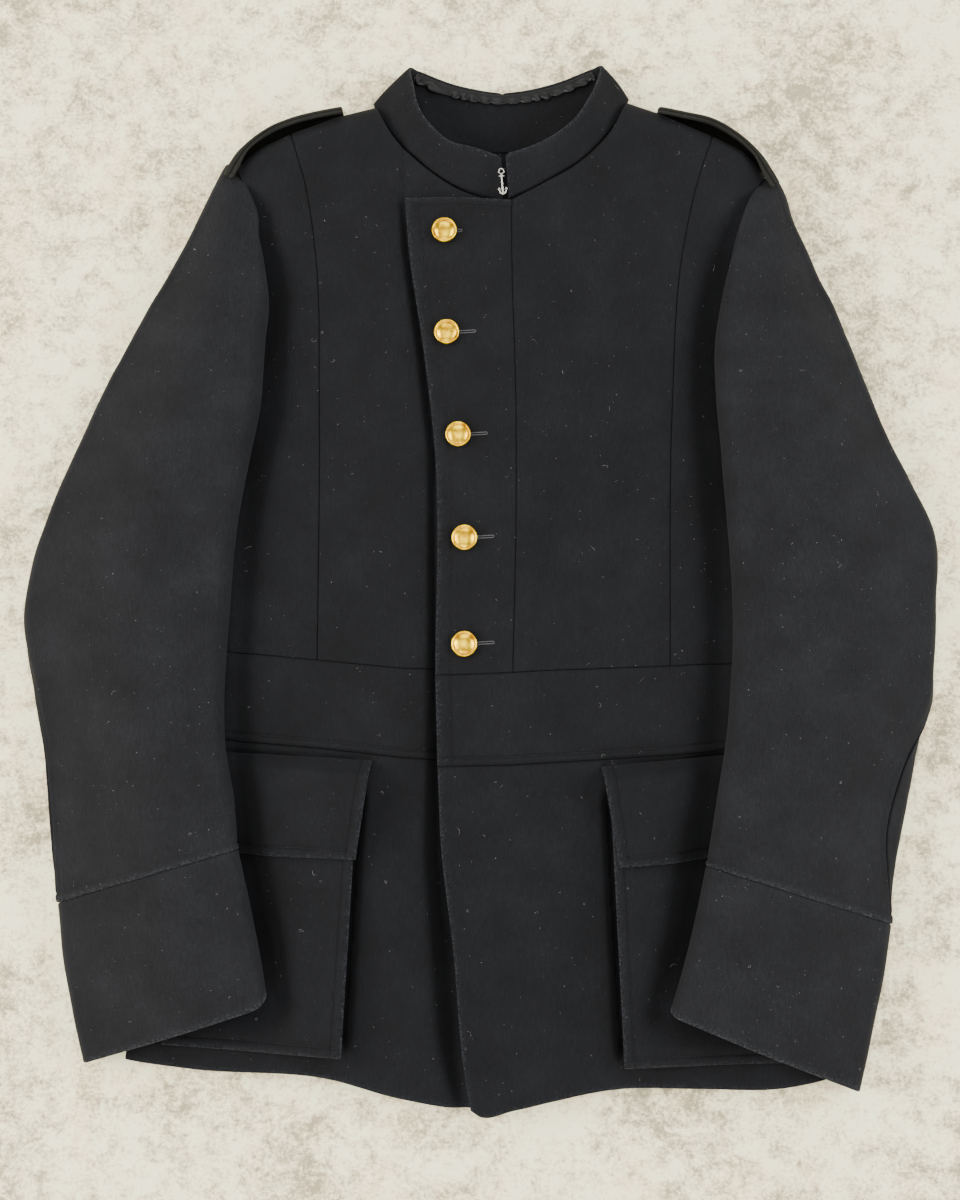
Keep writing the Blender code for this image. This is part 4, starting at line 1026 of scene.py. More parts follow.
def back_piece(part):
    """Back bodice, waistband or skirt, face down on the ground."""
    waist, band = (between(line[0], line[-1]) for line in (WAIST_SEAM, BAND_FOOT))
    near = {"low": BACK_TURN, "high": BACK_TURN}
    if part == "bodice":
        low, high = (bodice_edge(side, BACK_ARMHOLE) for side in PAIR)
        foot = waist
        head = edge(*straights(SHOULDER["right"][::-1]), BACK_NECK, *straights(SHOULDER["left"]))
        near["head"] = SHOULDER_TURN
    elif part == "waistband":
        low, high = map(band_side, PAIR)
        foot, head = band, waist
        near["foot"] = near_edge(BAND_FOOT_STITCH)
    else:
        low, high = (skirt_side(side, BACK_HEM_SHORTER) for side in PAIR)
        foot = edge((tuple(low(0.0)), *BACK_HEM, tuple(high(0.0))))
        head = band
    made = panel(patch(foot, head, low, high, BACK_STEP, **near), back_height,
                 lambda x, y: -back_relief(x, y), upward=False)
    if part == "waistband":
        made.stitch("foot", BAND_FOOT_STITCH, swell=0.0)
    return made.sew("foot head", "foot" if part == "skirt" else "")


def back_relief(x, y):
    """Slight waves of the back, which never reach below the surface it lies on."""
    return 0.5 + waves(x, y, 21, (60.0, 0.35), (24.0, 0.15))


# ---------------- pockets and flaps
def quad_grid(corners, **near):
    """Plan grid between four corners, fractions across, and distances in from the sides."""
    near = {side: near.get(side, near_edge()) for side in SIDES}
    outer_foot, inner_foot, inner_top, outer_top = np.array(corners, float)
    wide, tall = abs(inner_foot[0] - outer_foot[0]), abs(outer_top[1] - outer_foot[1])
    u, v = np.meshgrid(spaced(wide, PANEL_STEP, near["low"], near["high"])[0],
                       spaced(tall, PANEL_STEP, near["foot"], near["head"])[0])
    plan = between(between(outer_foot, inner_foot)(u), between(outer_top, inner_top)(u))(v)
    return plan, u, reach(u * wide, wide, v * tall, tall)


def pocket_rise(across):
    """How far a pocket stands up, at fractions from its outer to its inner side."""
    low, high = POCKET_RISE
    return low + (high - low) * smooth(across * 1.3 - 0.3)


def pocket(side):
    """Bellows pocket: its face slab, whose edges stand over a gusset strip that is set further in."""
    height = FRONT[side][0]
    stitched = near_edge(POCKET_STITCH)
    plan, u, distances = quad_grid(POCKET[side], high=stitched, foot=stitched)
    x, y = np.moveaxis(plan, -1, 0)
    pillow = smooth(np.min([distances[line] for line in ("low", "high", "foot")], axis=0) / POCKET_SIDE)
    rise = POCKET_GAP + pocket_rise(u) * (POCKET_EDGE_SHARE + (1 - POCKET_EDGE_SHARE) * pillow)
    slab = Piece(np.dstack((plan, height(x, y) + rise)), slopes_of(height, plan), distances)
    slab.lift(waves(x, y, 31, (40.0, 0.6 * pillow), (17.0, 0.18))
              + creased(x, y, POCKET_CREASES[side]) * pillow
              - sleeve_hollow(x, y) * (1 + POCKET_PRESSED * u))
    slab.stitch("high", POCKET_STITCH)
    slab.stitch("foot", POCKET_STITCH)
    slab.sew(folds="low high foot head")
    return slab, [slab.walls(POCKET_WALL), gusset(side, height)]


def gusset(side, height):
    """Strip round three sides of the pocket, from the skirt up to the underside of the pocket's face."""
    corners = np.array(POCKET[side], float)
    middle = corners.mean(axis=0)
    line = [between(*run)(np.linspace(0, 1, 40)[:-1]) for run in straights(corners[[3, 0, 1, 2]])]
    line = np.concatenate((*line, corners[2:3]))
    pull = middle - line
    line = line + GUSSET_INSET * np.sign(pull) * np.minimum(1.0, np.abs(pull) / GUSSET_INSET)
    u = np.clip(np.abs((line[:, 0] - corners[0, 0]) / (corners[1, 0] - corners[0, 0])), 0, 1)
    ground = height(*line.T) - sleeve_hollow(*line.T) + 0.15
    top = np.maximum(pocket_rise(u) * POCKET_EDGE_SHARE - POCKET_WALL - 0.2, 0.4) - 0.15
    tangent = unit(np.gradient(line, axis=0))
    inward = np.column_stack((-tangent[:, 1], tangent[:, 0]))
    inward *= np.sign((inward * (middle - line)).sum(axis=1, keepdims=True))
    share = np.linspace(0, 1, 5)[:, None]
    tuck = GUSSET_TUCK * np.sin(math.pi * share)[..., None]
    up = ground + top * share
    return shell(*(np.dstack((line + inward * (tuck + off), up)) for off in (0.0, GUSSET_WALL)))


def flap(side):
    """Pocket flap, stitched in along its inset line, climbing from its seam on to the pocket."""
    height = FRONT[side][0]
    near = dict.fromkeys(("low", "high", "foot"), near_edge(FLAP_STITCH))
    plan, u, distances = quad_grid(FLAP[side], **near)
    x, y = np.moveaxis(plan, -1, 0)
    climb = smooth(distances["head"] / FLAP_CLIMB)
    rise = FLAP_SEAM + (FLAP_SEAT - FLAP_SEAM + pocket_rise(u)) * climb
    made = Piece(np.dstack((plan, height(x, y) + rise)), slopes_of(height, plan), distances)
    curl = FLAP_CURL * smooth(1 - distances["foot"] / FLAP_HANG) * np.sin(x / FLAP_WAVE)
    made.lift(waves(x, y, 41, (36.0, 0.5), (15.0, 0.15)) + curl
              - sleeve_hollow(x, y) * (1 + POCKET_PRESSED * u * climb))
    for line in near:
        made.stitch(line, FLAP_STITCH, *(FLAP_STITCH_SPAN if line == "foot" else ()))
    made.stitch("head", BAND_FOOT_STITCH, thread=False)
    return made.sew("head", "low high foot")


# ---------------- sleeves
def support_width(inner, outer):
    """How far out from its inner edge the body holds a sleeve up."""
    share = np.linspace(0, 1, 200)
    on_body = side_distance(*between(inner, outer)(share).T) > 0
    return share[on_body][-1] * np.linalg.norm(outer - inner) + 2.0


def arm_section(row):
    """Outline of a sleeve section from its front seam over the top and back along the ground.

    Gives its points, where its inner roll starts and ends and where the elbow seam is, as lengths
    along it.
    """
    inner, outer = row[:2], row[2:4]
    tuck, back, rest, fold, crown, brim, lift, seam = row[4:]
    width = np.linalg.norm(outer - inner)
    near, far = EDGE_ROUND * (fold - rest), width - EDGE_ROUND * (brim - lift)
    turn = np.linspace(-0.5 * math.pi, 0.5 * math.pi, ARC_STEPS)

    def underside(distance):
        if tuck != back:
            return lift + 0.0 * distance
        nose = max(back, support_width(inner, outer))
        return lift + (rest - lift) * (1 - smooth((distance - nose) / min(RAMP, far - nose)))

    def topside(distance):
        return follow((0.0, CREST * width, width), (fold, crown, brim), distance)

    def roll(start, radius, low, high, angle):
        return start + radius * np.cos(angle), 0.5 * (high + low) + 0.5 * (high - low) * np.sin(angle)

    runs = []
    ends = 0, 0
    over = np.linspace(near, far, 60)
    if near > 1.0:
        tucked = np.linspace(tuck, near, 9)[:-1]
        runs = [(tucked, rest + 0 * tucked), roll(near, -near, rest, topside(near), turn)]
        ends = len(tucked), len(tucked) + ARC_STEPS - 1
        over = over[1:]
    runs.append((over, topside(over)))
    tip = sum(len(run[0]) for run in runs) + ARC_STEPS // 2 - 1
    under = np.linspace(far, back, 60)[1:]
    runs += [roll(far, width - far, underside(far), topside(far), turn[-2::-1]), (under, underside(under))]
    path = np.concatenate([np.column_stack(run) for run in runs])
    length = lengths_along(path)
    points = np.column_stack((inner + path[:, :1] * (outer - inner) / width, path[:, 1]))
    return points, length[ends[0]], length[ends[1]], length[tip] - seam


def spread(points, start, end, count):
    """Lengths at which to sample a path between two of them, closer together where it bends."""
    length = lengths_along(points)
    step = unit(np.diff(points, axis=0))
    bend = np.cumsum(np.arccos(np.clip((step[1:] * step[:-1]).sum(axis=1), -1, 1)))
    weight = length + BEND_WEIGHT * np.concatenate(([0.0], bend, bend[-1:]))
    first, last = np.interp((start, end), length, weight)
    return np.interp(np.linspace(first, last, count), weight, length)


def section_samples(row, part):
    """Sampled points of one section, in the same order on every section of the sleeve."""
    points, tucked, turned, seam = arm_section(row)
    length = lengths_along(points)
    last = length[-1] - SEAM_GAP
    if part == "under":
        return sampled(points, length, seam_ends(points, seam, last, UNDER_COUNT))
    tucked, turned = max(tucked, BUNCH), max(turned, 2 * BUNCH)
    end, count = (seam, TOP_COUNT) if part == "top" else (last, ROUND_COUNT)
    return sampled(points, length, np.concatenate((np.linspace(0, tucked, TUCK_COUNT + 1)[:-1],
                                                   np.linspace(tucked, turned, ROLL_COUNT + 1)[:-1],
                                                   seam_ends(points, turned, end, count, first=False))))


def seam_ends(points, start, end, count, first=True):
    """Lengths between two of them, with points close to the seams at the ends."""
    low = start + near_edge() if first else np.array([start])
    high = end - near_edge()[::-1]
    return np.concatenate((low[:-1], spread(points, low[-1], high[0], count), high[1:]))


def grid_normals(face):
    """Unit normals of a grid, from its neighbours."""
    return unit(np.cross(np.gradient(face, axis=1), np.gradient(face, axis=0)))


def arm_piece(table, side, part, near_foot, near_head, creases, seed):
    """Sleeve or cuff piece through its sections, its first row at the wrist end."""
    rows = np.array(table, float)[::-1]
    knots = lengths_along((rows[:, :2] + rows[:, 2:4]) / 2)
    up = spaced(knots[-1], SLEEVE_STEP, near_foot, near_head)[0][:, None] * knots[-1]
    face = follow(knots, [section_samples(row, part) for row in rows], up[:, 0])
    if part != "round":
        face[..., 2] = HEAD_LOW + (face[..., 2] - HEAD_LOW) * rolled((up[-1] - up) / HEAD_ROLL)
    face[..., 2] = np.maximum(face[..., 2], 0.0)
    normal = grid_normals(face) * -INWARD[side]
    across = np.array([lengths_along(row) for row in face])
    made = Piece(face, normal, reach(across, across[:, -1:], up, up[-1]))
    x, y, z = np.moveaxis(face, -1, 0)
    made.lift(smooth((normal[..., 2] + 0.1) / 0.5) * cloth_relief(x, y, creases, seed)
              + 0.25 * smooth(z / 6.0) * unevenness(across, up, 26.0, 51))
    made.hold = smooth((z - 2.0) / 10.0)
    return made


def settled(table):
    """A sleeve's sections with their inner edge down on the sunken body, except beside the cuff."""
    rows = np.array(table, float)
    tuck, rest = (SLEEVE_COLUMNS.index(name) for name in ("tuck", "rest"))
    fade = smooth((rows[:, 1] - rows[-1, 1]) / SETTLE_FADES)
    rows[:, rest] -= SLEEVE_SETTLES * np.minimum(1.0, rows[:, tuck] / 20) * fade
    return rows


def sleeve_piece(side, part):
    made = arm_piece(settled(SLEEVE[side]), side, part, near_edge(CUFF_RIDGE), SHOULDER_TURN,
                     SLEEVE_CREASES[side], 61)
    elbow = "high" if part == "top" else "low"
    made.stitch("foot", CUFF_RIDGE, swell=CUFF_RIDGE_SWELL, sink=CUFF_RIDGE_SINK, thread=False)
    made.stitch(elbow, ELBOW_RIDGE, swell=ELBOW_SWELL, thread=False)
    return made.sew("head " + elbow, "foot", elbow)


def cuff_piece(side):
    made = arm_piece((SLEEVE[side][-1], *CUFF[side][1:]), side, "round", near_edge(), near_edge(),
                     CUFF_CREASES[side], 71)
    radius = CUFF_CORNER[side]
    inward = made.face[..., 0] * INWARD[side]
    pull = fillet(inward.max(axis=1, keepdims=True) - inward, radius)
    pull *= np.clip(1 - made.away["foot"] / (2.5 * radius), 0, 1)
    made.face = made.face + unit(made.face[-1:] - made.face[:1]) * pull[..., None]
    return made.sew("head", "foot", "head")


# ---------------- collar
def collar_grid(fractions, up, rows=(0, -1)):
    """Points and inward normals of the collar's outer face, at fractions round it and heights up it.

    Gives also the lengths along its neck seam and its height at each of them.
    """
    knots = lengths_along(COLLAR[:, :3])
    start, end = knots[list(rows)]
    at = start + fractions * (end - start)
    neck, top = follow(knots, COLLAR[:, :3], at), follow(knots, COLLAR[:, 3:], at)
    face = between(neck, top)(up[:, None] + 0 * at)
    inward = unit(np.cross(np.gradient(face, axis=1), top - neck))
    return face, inward, at - start, np.linalg.norm(top - neck, axis=1)


def collar():
    """Stand collar: bellied between its neck seam and its rolled top edge, its front corners rounded."""
    knots = lengths_along(COLLAR[:, :3])
    fractions = spaced(knots[-1], COLLAR_STEP, near_edge(), near_edge())[0]
    height = np.linalg.norm(COLLAR[:, 3:] - COLLAR[:, :3], axis=1).mean()
    up = spaced(height, COLLAR_STEP, near_edge(turn=COLLAR_FOOT_TURN), near_edge(turn=COLLAR_HEAD_TURN))[0]
    face, inward, around, tall = collar_grid(fractions, 0.02 + 0.98 * up)
    corner = np.clip(1 - np.minimum(around, around[-1] - around) / COLLAR_CORNER, 0, 1)
    section, half_width, depth = COLLAR_NOTCH
    notch = depth * np.exp(-np.abs((around - knots[section]) / half_width))
    trim = (COLLAR_CORNER * (1 - np.sqrt(1 - corner**2)) + notch) / tall
    up = up[:, None]
    face = face[0] + (face[-1] - face[0]) * (up * (1 - trim))[..., None]
    high = up * tall
    made = Piece(face, -inward, reach(around, around[-1], high, tall))
    x, y, z = np.moveaxis(face, -1, 0)
    belly = COLLAR_BELLY * np.sin(math.pi * up) + waves(around, high, 81, (30.0, 0.5), (11.0, 0.2))
    made.lift(smooth((z - 8.0) / 12.0) * belly + creased(x, y, COLLAR_CREASES))
    return made.sew("foot", "low high head")


def satin_ruffle():
    """Gathered satin inside the back of the collar: folds that widen towards its loose scalloped edge."""
    first, last = SATIN_SECTIONS
    width = np.ptp(lengths_along(COLLAR[:, :3])[[first, last]])
    tall = np.linalg.norm(COLLAR[first:last + 1, 3:] - COLLAR[first:last + 1, :3], axis=1).mean()
    shares = np.linspace(0, 1, 22)
    face, inward, around, _ = collar_grid(np.linspace(0, 1, int(width / SATIN_STEP)),
                                          SATIN_FOOT + (SATIN_HEAD - SATIN_FOOT) * shares, SATIN_SECTIONS)
    shares = shares[:, None]
    loose = smooth((1 - shares) / 0.9)
    drift = 0.9 * np.sin(3.0 * shares)
    depth = 0.65 + 0.35 * unevenness(around, 0, 17.0, 92)
    phase = 2 * math.pi * (around + 8.0 * unevenness(around, 0, 23.0, 91)) / SATIN_FOLD
    fold = depth * (0.5 + 0.5 * np.sin(phase + drift))
    fine = 0.5 + 0.5 * np.sin(2.3 * phase + 1.3 + 2 * drift)
    stand = COLLAR_WALL + SATIN_GAP + SATIN_SWELL * (0.06 + 0.94 * loose**2) * fold + 0.25 * loose**2 * fine
    scallop = SATIN_SCALLOP * (fold - 0.5) * loose**3
    place = face + inward * stand[..., None] - unit(face[-1] - face[0]) * scallop[..., None]
    normal = grid_normals(place)
    normal *= np.sign(normal[..., 2].mean())
    span = (SATIN_HEAD - SATIN_FOOT) * tall
    return Piece(place + SATIN_SHEET * normal, normal,
                 reach(around, width, shares * span, span)).sew(folds="low high foot head")


# ---------------- shoulder straps
def distance_to(line, points):
    """Distance from plan points to a broken line."""
    found = []
    for start, end in straights(np.array(line, float)):
        run = end - start
        share = np.clip((points - start) @ run / (run @ run), 0.0, 1.0)
        found.append(np.linalg.norm(points - start - share[:, None] * run, axis=1))
    return np.min(found, axis=0)


def strap_sides(side, share, steps):
    """Outer and inner side of a strap as grids: down its section, and along it from the sleeve head."""
    line = edge(EPAULETTE[side])(share) + 0.5 * unevenness(share * 110.0, 0, 22.0, 95)[:, None]
    tangent = unit(np.gradient(line, axis=0))
    out = INWARD[side] * np.column_stack((-tangent[:, 1], tangent[:, 0]))
    off = -np.sign(shoulder_distance(*line.T)) * distance_to(SHOULDER[side], line)
    grown = smooth((share - STRAP_GROWS[0]) / STRAP_GROWS[1])
    tuck = STRAP_TUCK[0] + (STRAP_TUCK[1] - STRAP_TUCK[0]) * smooth((grown - 0.8) / 0.2)
    foot = np.minimum(tuck - off, 0.5 * STRAP_OUT[-1][0])
    wide, low = STRAP_ROOT
    top = STRAP_OUT[0][1]
    knots = np.linspace(0, 1, len(STRAP_OUT) + 1)
    down = steps[:, None]
    grids = []
    for table, foot_z, inset in ((STRAP_OUT, STRAP_FOOT[0], 0.0), (STRAP_IN, STRAP_FOOT[1], wide)):
        full_u = follow(knots, [*(0 * foot + row[0] for row in table), foot], steps)
        full_z = follow(knots, [*(row[1] for row in table), foot_z], steps)[:, None]
        root_u = STRAP_ROOT_LEAN * down - inset
        root_z = top + (low - top) * down
        u = root_u + (full_u - root_u) * grown
        grids.append(np.dstack((line + out * u[..., None], root_z + (full_z - root_z) * grown)))
    return grids


def strap_layers(side):
    """The strap's two layers, face to face, with their rims side by side."""
    length = lengths_along(EPAULETTE[side])[-1]
    share = spaced(length, STRAP_STEP, near_edge(), near_edge())[0]
    steps = spaced(STRAP_SECTION, STRAP_STEP, near_edge(turn=STRAP_TURN), near_edge())[0]
    outer, inner = strap_sides(side, share, steps)
    thick = np.linalg.norm(outer - inner, axis=-1)
    layers = []
    for face, across in ((outer, outer - inner), (inner, inner - outer)):
        down = np.cumsum(np.linalg.norm(np.diff(face, axis=0, prepend=face[:1]), axis=-1), axis=0)
        away = reach(share * length, length, down[-1:] - down, down[-1:])
        layers.append(Piece(face, across / thick[..., None], away).sew(folds="low high foot head"))
    return layers[0], [layer.walls(0.5 * thick - STRAP_SPLIT) for layer in layers]


# ---------------- threads and small turned things
def tubes(paths, radii, ups=(0.0, 0.0, 1.0), sides=6, flat=1.0):
    """Points and faces of round threads: paths (threads, points, 3), radii one for each point."""
    paths = np.asarray(paths, float)
    count, steps = paths.shape[:2]
    radii = np.broadcast_to(radii, (count, steps))
    tangent = unit(np.gradient(paths, axis=1))
    across = np.cross(tangent, ups)
    upright = np.linalg.norm(across, axis=-1, keepdims=True) <= 1e-6
    across = np.where(upright, (1.0, 0.0, 0.0), unit(across))[:, :, None]
    up = np.cross(across, tangent[:, :, None])
    angle = np.linspace(0, 2 * math.pi, sides + 1)[:-1, None]
    ring = np.cos(angle) * across + flat * np.sin(angle) * up
    points = paths[:, :, None] + ring * radii[:, :, None, None]
    number = np.arange(count * steps * sides).reshape(count, steps, sides)
    turned = np.roll(number, -1, axis=2)
    faces = [np.stack((number[:, :-1], turned[:, :-1], turned[:, 1:], number[:, 1:]), -1).reshape(-1, 4)]
    for line, turn in ((0, -1), (-1, 1)):
        for k in range(1, sides - 2, 2):
            faces.append(number[:, line, (0, k, k + 1, min(k + 2, sides - 1))][:, ::turn])
    return points.reshape(-1, 3), np.concatenate(faces)


def lathe(profile, steps):
    """Points and faces of a turned form from its profile (radius, height), top middle to foot middle."""
    angle = np.linspace(0, 2 * math.pi, steps + 1)[:-1]
    ring = np.stack((np.cos(angle), np.sin(angle)), -1)
    points = np.concatenate([np.column_stack((ring * max(r, 0.01), np.full(steps, z))) for r, z in profile])
    number = np.arange(len(points)).reshape(-1, steps)
    turned = np.roll(number, -1, axis=1)
    return points, np.stack((number[:-1], number[1:], turned[1:], turned[:-1]), -1).reshape(-1, 4)


def button_profile():
    """Profile of a domed button: dome, groove, rounded rim, back and shank, mm."""
    dome = np.array(((0.0, 6.1), (1.5, 6.05), (3.0, 5.85), (4.6, 5.45), (6.0, 4.9), (7.1, 4.3), (7.6, 3.95)))
    rim = ((7.8, 3.6), (8.0, 3.5), (8.2, 3.62), (8.4, 4.1), (8.75, 4.5), (9.15, 4.62), (9.55, 4.45),
           (9.85, 4.0), (10.0, 3.4), (10.0, 2.7), (9.8, 2.3), (9.2, 2.0), (2.5, 1.8), (2.5, 0.0), (0.0, 0.0))
    fine = np.linspace(0, dome[-1, 0], 22)
    return [*zip(fine, follow(dome[:, 0], dome[:, 1], fine)), *rim]


def stitches(lines):
    """Points and faces of all rows of stitches: each stitch arches between two holes in its trough."""
    stitch_run, arch, radii = np.array(STITCH_SHAPE).T
    paths = []
    ups = []
    for points, normals in lines:
        length = lengths_along(points)
        count = int(length[-1] / STITCH_PITCH)
        if count < 1:
            continue
        starts = (np.arange(count) + 0.5) * length[-1] / count - 0.5 * STITCH_LENGTH
        at = np.clip(starts[:, None] + STITCH_LENGTH * stitch_run, 0, length[-1])
        ups.append(sampled(normals, length, at))
        paths.append(sampled(points, length, at) + ups[-1] * arch[:, None])
    return tubes(np.concatenate(paths), radii, np.concatenate(ups))


class Surface:
    """The jacket's cloth as seen from above, for laying small things on it."""

    def __init__(self, objects):
        shells = []
        for mesh in (thing.data for thing in objects):
            points = np.zeros((len(mesh.vertices), 3), np.float32)
            faces = np.zeros((len(mesh.polygons), 4), np.int32)
            mesh.vertices.foreach_get("co", points.ravel())
            mesh.loops.foreach_get("vertex_index", faces.ravel())
            shells.append((points, faces))
        self.tree = BVHTree.FromPolygons(*(part.tolist() for part in joined(shells)))

    def drop(self, x, y):
        """Point and normal in pattern mm where something dropped at x, y comes to lie, or None."""
        start = Vector(((x + ORIGIN[0]) * MM, (y + ORIGIN[1]) * MM, ABOVE_ALL))
        place, normal, _, _ = self.tree.ray_cast(start, Vector((0, 0, -1)))
        if place is None or normal.z < STEEPEST:
            return None
        return np.array(place) / MM - ORIGIN, np.array(normal)

    def rest(self, xs, ys, height):
        """Path that lies over points of the cloth at a height."""
        return np.array([place + normal * height for place, normal in map(self.drop, xs, ys)])


def lint(surface, seed):
    """Curly fibres and specks that black wool picks up."""
    rng = np.random.default_rng(seed)
    low, high = (np.array(corner[:2]) / MM - ORIGIN[:2] for corner in CAD_BOX)
    fibres = []
    fibre_sizes = []
    while len(fibres) < FIBRE_COUNT:
        spot = rng.uniform(low, high)
        heading = rng.uniform(0, 2 * math.pi)
        curl = rng.normal(0, 0.55)
        step = rng.uniform(0.12, 0.4) if rng.random() < 0.85 else rng.uniform(0.4, 0.9)
        path = []
        for _ in FIBRE_TAPER:
            hit = surface.drop(*spot)
            if hit is None:
                break
            path.append(hit[0] + hit[1] * rng.uniform(0.05, 0.35))
            heading += curl + rng.normal(0, 0.25)
            spot = spot + step * np.array((math.cos(heading), math.sin(heading)))
        if len(path) == len(FIBRE_TAPER) and np.ptp([p[2] for p in path]) < FIBRE_DROP:
            fibres.append(path)
            fibre_sizes.append(FIBRE_RADIUS * rng.uniform(0.5, 1.25))
    specks = []
    speck_sizes = []
    while len(specks) < SPECK_COUNT:
        hit = surface.drop(*rng.uniform(low, high))
        if hit is None:
            continue
        size = SPECK_RADIUS * rng.uniform(0.4, 1.0) ** 1.5
        turn = rng.uniform(0, 2 * math.pi)
        run = size * rng.uniform(0.6, 2.0) * np.array((math.cos(turn), math.sin(turn), 0))
        middle = hit[0] + hit[1] * 0.3 * size
        specks.append((middle - run, middle, middle + run))
        speck_sizes.append((0.15 * size, size, 0.15 * size))
    return joined([tubes(fibres, np.outer(fibre_sizes, FIBRE_TAPER), sides=4),
                   tubes(specks, speck_sizes, sides=4, flat=0.5)])


def buttonhole(surface, x, y, length):
    """Two purled edges of a worked buttonhole, and a path down the slit between them for a strip of painted
    shade, as thread paths.
    """
    xs = np.linspace(x + BUTTONHOLE_START, x + length, 40)
    ys = y + BUTTONHOLE_TILT * (xs - x)
    half = BUTTONHOLE_HALF * np.sqrt(np.clip((xs[-1] - xs) / 1.2, 0, 1))
    return [surface.rest(xs, ys + off, 0.18) for off in (-half, half)], surface.rest(xs, ys, -0.02)


def turned(points, first, second, degrees):
    """Points turned from one of their axes towards another."""
    made = points.copy()
    c, s = math.cos(math.radians(degrees)), math.sin(math.radians(degrees))
    made[:, first] = c * points[:, first] - s * points[:, second]
    made[:, second] = s * points[:, first] + c * points[:, second]
    return made


def clasp_parts():
    """Small hook clasp: ring, shank, stock and two curved arms with pointed ends, flat on its face."""
    def rod(x, y, z, radii, sides=10):
        return tubes([np.column_stack(np.broadcast_arrays(x, y, z))], radii, sides=sides)

    angle = np.linspace(0, 2 * math.pi, 41)
    parts = [rod(2.0 * np.cos(angle), 8.4 + 2.0 * np.sin(angle), 0.0, 0.6),
             rod(0.0, np.linspace(6.3, -9.4, 12), np.linspace(0.1, 0.3, 12), np.linspace(0.75, 1.0, 12)),
             rod(np.linspace(-2.4, 2.4, 9), 4.6, 0.2, (0.4, 0.62, 0.66, 0.62, 0.6, 0.62, 0.66, 0.62, 0.4))]
    t = np.linspace(0, 1, 14)
    for hand in (-1, 1):
        x, y = hand * 2.8 * np.sin(t * 1.45), -9.6 + 5.2 * (1 - np.cos(t * 1.45))
        parts.append(rod(x, y, 0.2, np.interp(t, (0, 0.7, 1), (1.0, 0.8, 0.4))))
        for side in (-1, 1):
            parts.append(rod(x[-1] + side * np.array((0.0, 0.7, 0.9)), y[-1] + np.array((0.7, -0.4, -1.2)),
                             0.2, (0.3, 0.4, 0.12), sides=8))
    points, faces = joined(parts)
    return turned(turned(points, 1, 2, 8), 0, 1, CLASP_TURN) + np.array(CLASP), faces


# ---------------- materials
def linear(colour):
    """sRGB hex to linear red, green, blue."""
    parts = [int(colour[k:k + 2], 16) / 255 for k in (1, 3, 5)]
    return tuple(c / 12.92 if c <= 0.04045 else ((c + 0.055) / 1.055) ** 2.4 for c in parts)


def scaled(colour, by):
    return (*[min(1.0, c * by) for c in colour[:3]], 1.0)


def shades(colour, *stops):
    """Ramp stops of one colour from (position, strength)."""
    return [(position, scaled(colour, by)) for position, by in stops]


def node(tree, kind, inputs=None, **settings):
    """Add a node with its settings, and set its inputs or link them to sockets or nodes' first outputs."""
    made = tree.nodes.new(kind)
    for name, value in settings.items():
        setattr(made, name, value)
    for name, value in (inputs or {}).items():
        if isinstance(value, bpy.types.Node):
            value = value.outputs[0]
        if isinstance(value, bpy.types.NodeSocket):
            tree.links.new(value, made.inputs[name])
        else:
            made.inputs[name].default_value = value
    return made


def new_material(name):
    """Empty node material, its node tree and its own coordinates."""
    made = bpy.data.materials.new(name)
    made.use_nodes = True
    made.node_tree.nodes.clear()
    place = node(made.node_tree, "ShaderNodeTexCoord").outputs["Object"]
    return made, made.node_tree, place


def shaded(made, inputs):
    """Give a material its shader."""
    shader = node(made.node_tree, "ShaderNodeBsdfPrincipled", inputs)
    node(made.node_tree, "ShaderNodeOutputMaterial", {"Surface": shader})
    return made


def per_mm(size):
    """Pattern scale for detail of a size in mm, on coordinates in metres."""
    return 1.0 / (size * MM)


def ramp(tree, factor, stops):
    """Colour ramp over (position, colour) stops."""
    made = node(tree, "ShaderNodeValToRGB", {"Fac": factor})
    elements = made.color_ramp.elements
    while len(elements) < len(stops):
        elements.new(0.5)
    for element, (position, colour) in zip(elements, stops):
        element.position = position
        element.color = colour
    return made.outputs["Color"]


